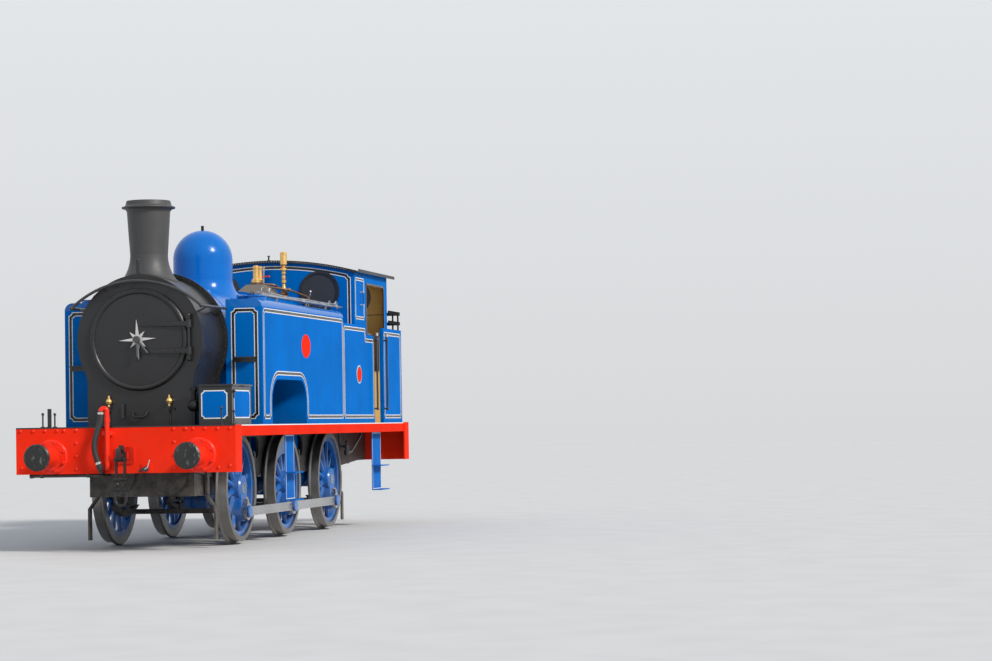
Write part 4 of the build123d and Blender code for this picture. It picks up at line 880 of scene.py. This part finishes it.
def make_beam_rivets():
    rivets = Shape()
    top_row = (
        -1.235, -1.086, -0.943, -0.800, -0.717, -0.575, 0.571, 0.711, 0.799, 0.938, 1.084, 1.228
    )
    places = [(y, 1.350) for y in top_row]
    for z in (1.205, 1.060, 0.915):
        places.extend([(-0.575, z), (0.575, z)])
    for side in (1, -1):
        places.extend([(side * 1.222, 0.931), (side * 1.091, 0.913), (side * 0.800, 0.900)])
    for end in (1, -1):
        for y, z in places:
            rivets.rivet((end * beam_face_x, y, above_rail(z)), (end, 0, 0), 0.020, 0.015)
    rivets.place("beam_rivets", round_red)


def make_smokebox_rivets():
    """Rivets round the smokebox's rear ring."""
    rivets = Shape()
    for y, z in arc((0.0, boiler_z), smoke_high.y - 0.028, -35, 215, 43):
        rivets.rivet((smoke_low.x + 0.025, y, z), (1, 0, 0), 0.010)
    rivets.place("smokebox_rivets", smokebox_black)


def make_roof_rivets():
    """Small rivets near the roof's front edge and along the cab's corner angles."""
    rivets = Shape()
    outer = roof_radius + 0.012
    half_angle = math.degrees(math.asin(1.18 / outer))
    for y, z in arc((0.0, roof_centre_z), outer, 90 + half_angle, 90 - half_angle, 55):
        rivets.rivet((back(6.155), y, z), (0, y, z - roof_centre_z), 0.007)
    rivets.place("roof_rivets", roof_black)
    corner = Shape()
    for side in (1, -1):
        for index in range(15):
            corner.rivet((cab_front_x, side * 1.146, above_rail(2.74 + 0.045 * index)), (1, 0, 0), 0.006)
    corner.place("cab_corner_rivets", blue_paint)


def make_buffer_bolts():
    """Eight bolts round each buffer's flange."""
    bolts = Shape()
    for end in (1, -1):
        for side in (1, -1):
            for y, z in arc((side * buffer_side, above_rail(buffer_height)), 0.166, 22.5, 337.5, 7):
                spot = meet("buffer_stocks", (end * 6.0, y, z), (-end, 0, 0))
                bolts.hexagon(spot, (end, 0, 0), 0.019, 0.028)
    bolts.place("buffer_bolts", round_red)


def make_door_fittings():
    """Bolts on the door's straps, which turn with it, and nuts that stay on its hinge pin."""
    moving = Shape()
    for height in (2.240, 2.550):
        for y in (0.16, 0.30, 0.46):
            moving.rivet(meet("smokebox_door", at(0.0, y, height), (-1, 0, 0)), (1, 0, 0), 0.011)
    moving.place("strap_rivets", smokebox_black, body="door")
    fixed = Shape()
    nut = [(0.026, -0.004), (0.026, 0.010), (0.018, 0.020), (0.006, 0.026)]
    for height, turn in ((2.145, -1), (2.645, 1)):
        fixed.turned(nut, (front_plate_x + 0.045, 0.600, above_rail(height)), (0, 0, turn), 16)
    fixed.place("hinge_nuts", smokebox_black)


make_beam_rivets()
make_smokebox_rivets()
make_roof_rivets()
make_buffer_bolts()
make_door_fittings()

# Smokebox plate and beams


def make_front_fittings():
    """Lamp irons and grab handle on the smokebox, and the oil cups' stems and brackets."""
    x = front_plate_x
    irons = Shape()
    foot = above_rail(1.475)
    crown = above_rail(smokebox_centre + smokebox_radius)
    for near, far, y, half, low, high in (
        (0.0, 0.012, -0.202, 0.020, foot, above_rail(1.505)),
        (0.004, 0.030, -0.202, 0.018, foot, above_rail(1.485)),
        (0.022, 0.034, -0.202, 0.018, foot, above_rail(1.648)),
        (-0.052, -0.005, -0.025, 0.020, crown - 0.006, crown + 0.010),
        (-0.045, -0.034, -0.025, 0.020, crown, above_rail(3.305)),
    ):
        irons.box((x + near, y - half, low), (x + far, y + half, high))
    irons.place("smokebox_lamp_irons", black_paint, bevel=0.002)
    handle = Shape()
    half_handle = [(-0.002, 0.080, 1.545), (0.040, 0.090, 1.535), (0.046, 0.060, 1.490)]
    right = [(x + ahead, -y, above_rail(z)) for ahead, y, z in half_handle]
    left = [(x + ahead, y, above_rail(z)) for ahead, y, z in reversed(half_handle)]
    handle.bent(right + left, 0.010)
    for y in (-0.080, 0.080):
        handle.hexagon((x, y, above_rail(1.545)), (1, 0, 0), 0.014, 0.012)
    handle.place("smokebox_handle", black_paint)
    stems = Shape()
    stem = ((0.050, 1.640), (0.050, 1.570), (0.006, 1.545), (0.006, 1.400))
    bracket = ((-0.002, 0.008, 1.600), (0.018, 0.045, 1.600), (-0.002, 0.060, 1.560))
    for side in (1, -1):
        y = side * 0.360
        stems.bent([(x + ahead, y, above_rail(z)) for ahead, z in stem], 0.009)
        stems.bent([(x + ahead, y + side * out, above_rail(z)) for ahead, out, z in bracket], 0.007)
        stems.hexagon((x, y, above_rail(1.672)), (1, 0, 0), 0.024, 0.014)
    stems.place("oil_cup_stems", black_paint)


def make_steam_cock():
    """Drain cock low on the beam: red plate, dark body, steel lever."""
    plate = Shape()
    plate.box(at(0.002, 0.190, 0.862), at(-0.010, 0.315, 0.965))
    plate.place("cock_plate", red_paint, bevel=0.002)
    body = Shape()
    body.turned(
        [(0.030, 0.0), (0.030, 0.012), (0.020, 0.018), (0.020, 0.050), (0.026, 0.052), (0.024, 0.066)],
        at(-0.008, 0.250, 0.905), (1, 0, 0), 20
    )
    body.bent([at(-0.040, 0.250, 0.905), at(-0.040, 0.190, 0.900), at(-0.040, 0.180, 0.868)], 0.013)
    body.place("cock_body", dark_steel)
    lever = Shape()
    lever.bent([at(-0.070, 0.252, 0.905), at(-0.074, 0.285, 0.925), at(-0.074, 0.312, 1.010)], 0.007)
    lever.place("cock_lever", polished_steel)


def make_beam_edges():
    """Black edge of the running plate over each beam, bracket bolts, and a pipe under the front beam."""
    edges = Shape()
    bolts = Shape()
    for end in (1, -1):
        near, far = sorted((end * (beam_face_x - 0.020), end * (beam_face_x + 0.003)))
        edges.box((near, -1.289, footplate_top - 0.011), (far, 1.289, footplate_top + 0.003))
        for y in (-0.245, -0.135):
            bolts.hexagon((end * beam_face_x, end * y, above_rail(1.315)), (end, 0, 0), 0.013, 0.016)
    edges.place("running_plate_edges", black_paint)
    bolts.place("pipe_bracket_bolts", round_red)
    pipe = Shape()
    x = beam_face_x - 0.040
    z = beam_low.z - 0.018
    pipe.bent([(x, -1.120, z), (x, -0.300, z), (x - 0.30, -0.300, z)], 0.020)
    pipe.turned([(0.028, -0.020), (0.030, 0.0), (0.028, 0.020)], (x, -1.120, z), (0, 1, 0), 6)
    for y in (-1.000, -0.450):
        pipe.box((x - 0.024, y - 0.015, z - 0.024), (x + 0.024, y + 0.015, z + 0.022))
    pipe.place("under_beam_pipe", black_paint)


make_front_fittings()
make_steam_cock()
make_beam_edges()

# Valves, roof and cab sides


def make_valve_fittings():
    """Rod, lever, steam pipes and their joints beside the valves and whistle."""
    rod_distance = valve_distance - 0.020
    rod = Shape()
    rod_top = valve_seat + 0.235
    rod.bent([at(rod_distance, 0.088, valve_seat + 0.010), at(rod_distance, 0.092, rod_top)], 0.006)
    rod.turned([(0.012, 0.0), (0.012, 0.018)], at(rod_distance, 0.092, rod_top - 0.010), (0, 0, 1), 12)
    rod.place("valve_rod", polished_steel)
    lever = Shape()
    lever_end = at(rod_distance, 0.160, 3.350)
    lever.bent([at(rod_distance, 0.070, 3.350), lever_end], 0.008)
    lever.rivet(lever_end, (0, 1, 0), 0.013, 0.014)
    lever.place("valve_lever", round_red)
    cone = Shape()
    foot = Vector(at(whistle_distance, 0.245, 3.100))
    cone.turned([
        (0.030, -0.050), (0.072, -0.045), (0.072, -0.004), (0.056, 0.004), (0.052, 0.030), (0.036, 0.090),
        (0.030, 0.092),
    ], foot, (0, 0, 1), 24)
    for x, y in arc((foot.x, foot.y), 0.062, 20, 320, 5):
        cone.hexagon((x, y, foot.z - 0.004), (0, 0, 1), 0.007, 0.008)
    cone.place("whistle_foot", bronze)
    pipes = Shape()
    pipes.bent([
        at(valve_distance + 0.060, 0.080, valve_seat + 0.012),
        at(valve_distance + 0.090, 0.200, valve_seat + 0.004),
        at(5.820, 0.300, 3.160),
        at(whistle_distance, 0.300, 3.130),
        at(whistle_distance, 0.245, 3.125),
    ], 0.014)
    pipes.bent([
        at(valve_distance + 0.080, 0.100, valve_seat - 0.020),
        at(5.700, 0.380, 3.175),
        at(6.020, 0.560, 3.090),
        at(6.020, 0.560, 2.830),
    ], 0.015)
    union = [(0.018, -0.018), (0.025, -0.016), (0.025, 0.016), (0.018, 0.018)]
    for spot, along in (
        (at(5.820, 0.300, 3.160), (-1, 0.3, -0.2)),
        (at(5.700, 0.380, 3.175), (-1, 0.9, -0.2)),
        (at(6.020, 0.560, 3.060), (0, 0, 1)),
    ):
        pipes.turned(union, spot, along, 6)
    pipes.place("steam_pipes", bronze)
    handle = Shape()
    handle.bent([at(6.020, 0.560, 3.060), at(6.010, 0.590, 3.100), at(6.005, 0.600, 3.150)], 0.007)
    knob = [(0.006, -0.016), (0.014, -0.010), (0.017, 0.0), (0.014, 0.010), (0.006, 0.016)]
    handle.turned(knob, at(6.005, 0.600, 3.160), (0, 0, 1), 16)
    handle.place("pipe_valve_handle", polished_steel)


def make_fire_irons():
    """Three more irons beside the first, each with a ring, and hooked ends on two of them."""
    irons = Shape()
    top = tank_top + 0.078
    for y, start, end, lift in (
        (0.978, 2.30, 5.95, 0.0),
        (0.966, 2.10, 5.60, 0.021),
        (1.002, 2.55, 5.80, 0.0245),
    ):
        irons.bent([
            at(start, y, top + lift + 0.012),
            at(start + 0.8, y, top + lift - 0.004),
            at(4.2, y + 0.012, top + lift),
            at(end - 0.6, y, top + lift - 0.002),
            at(end, y - 0.015, top + lift + 0.010),
        ], 0.010)
        ring = ellipse(on_side(end + 0.045, top + lift + 0.010), 0.045, 0.040, 12)
        irons.tube([(x, y - 0.015, z) for x, z in ring + ring[:1]], 0.008, 8)
    hook = ((0.01, 0.012), (-0.05, 0.020), (-0.06, 0.085), (0.02, 0.095))
    for start, y in ((2.30, 0.978), (2.55, 1.002)):
        irons.bent([at(start + behind, y, top + rise) for behind, rise in hook], 0.009)
    irons.place("fire_iron_set", iron_steel)


def make_roof_fittings():
    """Rod end on the roof, black angle with rivets along its front edge, and seams inside the cab."""
    rod = Shape()
    rod.turned([
        (0.022, -0.002), (0.022, 0.010), (0.011, 0.012), (0.011, 0.050), (0.017, 0.052), (0.017, 0.070),
    ], meet("cab_roof", (back(6.165), -0.020, 5.0), (0, 0, -1)), (0, 0, 1), 16)
    rod.place("roof_rod", black_paint)
    edge = Shape()
    rivets = Shape()
    centre = (0.0, roof_centre_z)
    half_angle = math.degrees(math.asin(1.215 / roof_radius))
    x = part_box("cab_roof")[1].x
    upper, lower = (
        arc(centre, roof_radius + rise, 90 - half_angle, 90 + half_angle, 48) for rise in (0.010, -0.022)
    )
    edge.strip(front_plane(x), upper, lower, 0.003, closed=False)
    edge.place("roof_edge", black_paint)
    for y, z in arc(centre, roof_radius - 0.008, 92 - half_angle, 88 + half_angle, 60):
        rivets.rivet((x + 0.003, y, z), (1, 0, 0), 0.006)
    rivets.place("roof_edge_rivets", iron_steel)
    seams = Shape()
    for side in (1, -1):
        low, high = sorted((side * 0.30, side * 1.140))
        wall_x = meet("cab_back", at(7.0, side * 1.05, 2.80), (-1, 0, 0)).x
        seams.box((wall_x - 0.002, low, above_rail(2.906)), (wall_x + 0.003, high, above_rail(2.913)))
    seams.place("cab_seams", black_line)


def make_window_edges():
    """Rounded corners and a dark edge in each side opening, with the panel's hinge marks."""
    edges = Shape()
    marks = Shape()
    gussets = Shape()
    top = 3.300
    sill = 2.590
    behind, corners = rounded([
        on_side(6.800, top), on_side(7.880, top), on_side(7.880, sill), on_side(7.600, sill),
    ], 0.060)
    ahead = [on_side(7.066, sill), on_side(6.800, sill), on_side(6.800, top)]
    for side in (1, -1):
        plane = side_plane(cab_half_width, side)
        for line in (behind, ahead):
            edges.strip(plane, line, offset_line(line, 0.026, False), 0.003, False)
        for square, curve in corners:
            gussets.strip(side_plane(cab_half_width - 0.006, side), square, curve, 0.006, False)
        low, high = sorted((side * 1.168, side * 1.178))
        for distance in (6.250, 6.445, 6.640):
            marks.box(at(distance + 0.022, low, 3.385), at(distance - 0.022, high, 3.402))
    edges.place("window_edges", black_line)
    gussets.place("window_corners", cab_side_paint)
    marks.place("panel_hinges", dark_steel, bevel=0.002)


make_valve_fittings()
make_fire_irons()
make_roof_fittings()
make_window_edges()

# Below the running plate, and small pieces that move with wheels, rods and lids


def make_injectors():
    """Injectors and their pipes under the cab."""
    body = Shape()
    pipes = Shape()
    pipe_top = above_rail(1.275)
    for side in (1, -1):
        x, y, z = at(5.95, side * 1.080, 0.955)
        body.turned([
            (0.020, 0.0), (0.036, 0.010), (0.036, 0.060), (0.026, 0.070), (0.026, 0.105),
            (0.034, 0.112), (0.034, 0.135), (0.014, 0.150), (0.022, 0.165), (0.022, 0.185), (0.008, 0.198),
        ], (x, y, z), (0, 0, 1), 20)
        pipes.bent([(x, y, z + 0.12), (x, side * 0.98, z + 0.12), (x, side * 0.98, pipe_top)], 0.016)
        pipes.bent([
            (x, y, z + 0.035), (back(6.20), y, z + 0.050), at(6.75, y, 1.225), (back(6.75), y, pipe_top),
        ], 0.018)
    body.place("injectors", dark_steel)
    pipes.place("injector_pipes", dark_steel)


def make_running_details():
    """Steel axle ends, and oil plugs on the rods."""
    axles = ("leading", "driving", "trailing")
    centres = [middle_and_top(axle + "_wheels")[0] for axle in axles]
    cap = [(0.070, -0.002), (0.070, 0.0008), (0.064, 0.0016), (0.012, 0.0016), (0.008, 0.0004)]
    for axle, centre in zip(axles, centres):
        ends = Shape()
        for side in (1, -1):
            hub = meet(axle + "_wheels", (centre.x, side * 2.0, centre.z), (0, -side, 0))
            ends.turned(cap, hub, (0, side, 0), 32)
        ends.place(axle + "_axle_ends", rod_steel, body=axle + "_wheelset")
    left_rod_x = middle_and_top("left_coupling_rod")[0].x
    plug = [(0.014, -0.002), (0.014, 0.006), (0.010, 0.008), (0.010, 0.018), (0.004, 0.020)]
    for side, name in side_names:
        plugs = Shape()
        shift = middle_and_top(name + "_coupling_rod")[0].x - left_rod_x
        for centre in centres:
            spot = meet(name + "_coupling_rod", (centre.x + shift, side * 0.880, 2.0), (0, 0, -1))
            plugs.turned(plug, spot, (0, 0, 1), 12)
        plugs.place(name + "_rod_plugs", brass_metal, body=name + "_rod")


def make_lid_handles():
    """Lifting handle on each tank filler lid and on the box lid, and the box's latch."""
    for side, name in side_names:
        centre, high = middle_and_top(name + "_tank_lid")
        handle = Shape()
        hoop = ((-0.060, -0.012), (-0.060, 0.035), (0.060, 0.035), (0.060, -0.012))
        handle.bent([(centre.x + along, centre.y, high.z + rise) for along, rise in hoop], 0.008)
        for end in (-0.060, 0.060):
            foot = meet(name + "_tank_lid", (centre.x + end, centre.y, 5.0), (0, 0, -1))
            handle.turned([(0.020, -0.002), (0.020, 0.004), (0.014, 0.008)], foot, (0, 0, 1), 16)
        handle.place(name + "_lid_handle", dark_steel, body=name + "_lid")
    centre, high = middle_and_top("box_lid")
    ring = Shape()
    hoop = ((-0.050, -0.003), (-0.050, 0.022), (0.050, 0.022), (0.050, -0.003))
    ring.bent([(centre.x + along, high.y + out, high.z - 0.018) for along, out in hoop], 0.006)
    ring.place("box_lid_handle", dark_steel, body="box_cover")
    latch = Shape()
    latch.box(at(0.445, 1.149, 1.690), at(0.415, 1.156, 1.792))
    latch.rivet(at(0.430, 1.155, 1.705), (0, 1, 0), 0.008)
    latch.turned([(0.014, 0.0), (0.014, 0.022)], at(0.430, 1.150, 1.762), (0, 1, 0), 12)
    latch.place("box_latch", dark_steel)


make_injectors()
make_running_details()
make_lid_handles()

# Inside the cab; its fittings face the crew, towards -X

backhead_x = meet("firebox", (-3.0, 0.40, above_rail(2.60)), (1, 0, 0)).x
to_crew = (-1, 0, 0)


def make_gauges():
    """Two round dials on the backhead."""
    rims = Shape()
    faces = Shape()
    needles = Shape()
    radius = 0.095
    z = above_rail(2.90)
    for y in (0.21, -0.21):
        rims.turned([
            (radius * 0.8, 0.0), (radius, 0.010), (radius, 0.040), (radius * 0.90, 0.046),
            (radius * 0.88, 0.036),
        ], (backhead_x, y, z), to_crew, 32)
        front = (backhead_x - 0.037, y, z)
        faces.turned([(radius * 0.89, -0.002), (radius * 0.89, 0.001)], front, to_crew, 32)
        for share in (0.70, 0.76):
            for dot_y, dot_z in arc((y, z), share * radius, -30, 210, 10):
                needles.rivet((front[0] - 0.001, dot_y, dot_z), to_crew, radius * 0.035, 0.0015)
        needle_x = front[0] - 0.003
        needles.tube([(needle_x, y, z), (needle_x, y - 0.55 * radius, z + 0.40 * radius)], 0.002, 6)
        needles.turned([(0.007, 0.0), (0.005, 0.005)], front, to_crew, 12)
    rims.place("gauge_rims", brass_metal)
    faces.place("gauge_faces", white_line)
    needles.place("gauge_marks", black_line)


def make_backhead_fittings():
    """Gauge glasses with their cocks, and a manifold with four small hand wheels."""
    fittings = Shape()
    glasses = Shape()
    wheels = Shape()
    x = backhead_x
    for side in (1, -1):
        y = side * 0.32
        for height in (2.36, 2.62):
            z = above_rail(height)
            fittings.bent([(x + 0.004, y, z), (x - 0.060, y, z), (x - 0.060, y, z + 0.02)], 0.014)
            fittings.bent([
                (x - 0.050, y, z), (x - 0.055, y + side * 0.060, z), (x - 0.055, y + side * 0.065, z - 0.06),
            ], 0.006)
        glasses.tube([(x - 0.060, y, above_rail(2.37)), (x - 0.060, y, above_rail(2.61))], 0.009, 12)
    z = above_rail(3.03)
    pipe_x = x - 0.070
    fittings.bent([(x + 0.002, 0.0, z - 0.02), (pipe_x, 0.0, z), (pipe_x, 0.02, z)], 0.022)
    fittings.tube([(pipe_x, -0.26, z), (pipe_x, 0.26, z)], 0.024, 16)
    wheel_x = x - 0.150
    wheel_radius = 0.034
    for y in (-0.22, -0.11, 0.11, 0.22):
        fittings.tube([(pipe_x, y, z), (wheel_x, y, z)], 0.007, 8)
        wheels.tube([(wheel_x, u, v) for u, v in arc((y, z), wheel_radius, 0, 360, 20)], 0.005, 6)
        for u, v in arc((0.0, 0.0), wheel_radius, 0, 120, 2):
            wheels.tube([(wheel_x, y - u, z - v), (wheel_x, y + u, z + v)], 0.004, 6)
    fittings.place("backhead_fittings", brass_metal)
    glasses.place("gauge_glasses", window_glass)
    wheels.place("valve_wheels", dark_steel)


def make_stands():
    """Reverser with its lever and sector, brake column, and their grips."""
    floor_z = footplate_top
    pivot_x = -2.35
    lever_y = -0.89
    sector_y = -0.865
    column_x = -3.02
    column_y = -0.82
    stands = Shape()
    stands.box((-2.55, -0.93, floor_z - 0.002), (-2.15, -0.85, floor_z + 0.014))
    stands.tube([(pivot_x, lever_y, floor_z + 0.01), (-2.47, lever_y, floor_z + 0.86)], 0.016, 12)
    sector = [(x, sector_y, z) for x, z in arc((pivot_x, floor_z), 0.52, 55, 125, 10)]
    stands.tube(sector, 0.012, 6)
    for spot in (sector[0], sector[-1]):
        stands.tube([spot, (spot[0], sector_y, floor_z)], 0.011, 8)
    stands.turned([
        (0.070, -0.002), (0.070, 0.015), (0.034, 0.030), (0.030, 0.800), (0.042, 0.810), (0.042, 0.840),
        (0.016, 0.850), (0.016, 0.930),
    ], (column_x, column_y, floor_z), (0, 0, 1), 24)
    stands.place("cab_stands", dark_steel)
    grips = Shape()
    grips.tube([(-2.463, lever_y, floor_z + 0.80), (-2.489, lever_y, floor_z + 1.00)], 0.019, 12)
    crank = ((0.0, 0.915), (0.20, 0.915), (0.20, 1.02))
    grips.bent([(column_x, column_y + out, floor_z + rise) for out, rise in crank], 0.012)
    grips.place("cab_grips", polished_steel)


make_gauges()
make_backhead_fittings()
make_stands()

# Rear of the bunker


def make_rear_irons():
    """Lamp irons on the bunker's back sheet."""
    irons = Shape()
    half = 0.020
    for y in (-0.86, 0.0, 0.86):
        x = meet("bunker", (-6.0, y, above_rail(2.42)), (1, 0, 0)).x
        for near, far, low, high in (
            (-0.006, 0.002, 2.340, 2.450),
            (-0.040, 0.002, 2.442, 2.450),
            (-0.040, -0.032, 2.442, 2.560),
        ):
            irons.box((x + near, y - half, above_rail(low)), (x + far, y + half, above_rail(high)))
        for z in (2.365, 2.400):
            irons.rivet((x - 0.006, y, above_rail(z)), (-1, 0, 0), 0.007)
    irons.place("rear_lamp_irons", black_paint)


make_rear_irons()

# Camera at the photograph's place

focal_pixels = 2673.8
picture_width_pixels = 992
camera_place = Vector((beam_face_x + 28.766, 9.738, above_rail(1.355)))
camera_yaw = math.radians(10.768)
camera_pitch = math.radians(1.979)
camera_roll = math.radians(0.981)


def make_camera():
    data = bpy.data.cameras.new("camera")
    data.sensor_width = 36.0
    data.lens = focal_pixels / picture_width_pixels * data.sensor_width
    data.clip_end = 500.0
    camera = add_object("camera", data)
    forward = Vector((
        -math.cos(camera_yaw) * math.cos(camera_pitch),
        -math.sin(camera_yaw) * math.cos(camera_pitch),
        math.sin(camera_pitch),
    ))
    level = forward.cross(Vector((0.0, 0.0, 1.0))).normalized()
    upright = level.cross(forward)
    right = math.cos(camera_roll) * level - math.sin(camera_roll) * upright
    up = math.sin(camera_roll) * level + math.cos(camera_roll) * upright
    matrix = Matrix((right, up, -forward)).transposed().to_4x4()
    matrix.translation = camera_place
    camera.matrix_world = matrix
    bpy.context.scene.camera = camera


# Studio: pale floor, soft sky, one large key light


def make_world():
    world = bpy.data.worlds.new("studio")
    bpy.context.scene.world = world
    world.use_nodes = True
    tree = world.node_tree
    tree.nodes.clear()
    output = tree.nodes.new("ShaderNodeOutputWorld")
    shown = tree.nodes.new("ShaderNodeBackground")
    lit = tree.nodes.new("ShaderNodeBackground")
    coordinates = tree.nodes.new("ShaderNodeTexCoord").outputs["Generated"]
    height = remap(tree, split_axes(tree, coordinates)["Z"], -0.05, 0.45, 0.0, 1.0)
    sky = blend_colours(tree, height, (0.66, 0.67, 0.68), (0.92, 0.95, 1.0))
    tree.links.new(sky, shown.inputs["Color"])
    shown.inputs["Strength"].default_value = 1.0
    lit.inputs["Color"].default_value = (0.86, 0.92, 1.0, 1.0)
    lit.inputs["Strength"].default_value = 0.62
    rays = tree.nodes.new("ShaderNodeLightPath").outputs
    seen = calculate(tree, "MAXIMUM", rays["Is Camera Ray"], rays["Is Glossy Ray"])
    seen = calculate(tree, "MAXIMUM", seen, rays["Is Transmission Ray"])
    mix = tree.nodes.new("ShaderNodeMixShader")
    tree.links.new(seen, mix.inputs["Fac"])
    tree.links.new(lit.outputs["Background"], mix.inputs[1])
    tree.links.new(shown.outputs["Background"], mix.inputs[2])
    tree.links.new(mix.outputs["Shader"], output.inputs["Surface"])


def make_floor():
    mesh = bpy.data.meshes.new("floor")
    half = 120.0
    corners = [(x, y, 0.0) for x, y in rectangle(-half, -half, half, half)]
    mesh.from_pydata(corners, [], [(0, 1, 2, 3)])
    floor = add_object("floor", mesh)
    mesh.materials.append(surface("floor_grey", (0.56, 0.56, 0.56), 0.85, patches=0.03))


def make_sun():
    data = bpy.data.lights.new("key", "SUN")
    data.energy = 3.3
    data.angle = math.radians(12.0)
    data.color = (1.0, 0.97, 0.92)
    key = add_object("key", data)
    towards = Vector((-0.42, -0.80, -0.65))
    key.rotation_euler = towards.to_track_quat("-Z", "Y").to_euler()


make_camera()
make_world()
make_floor()
make_sun()
bpy.context.scene.view_settings.view_transform = "Standard"
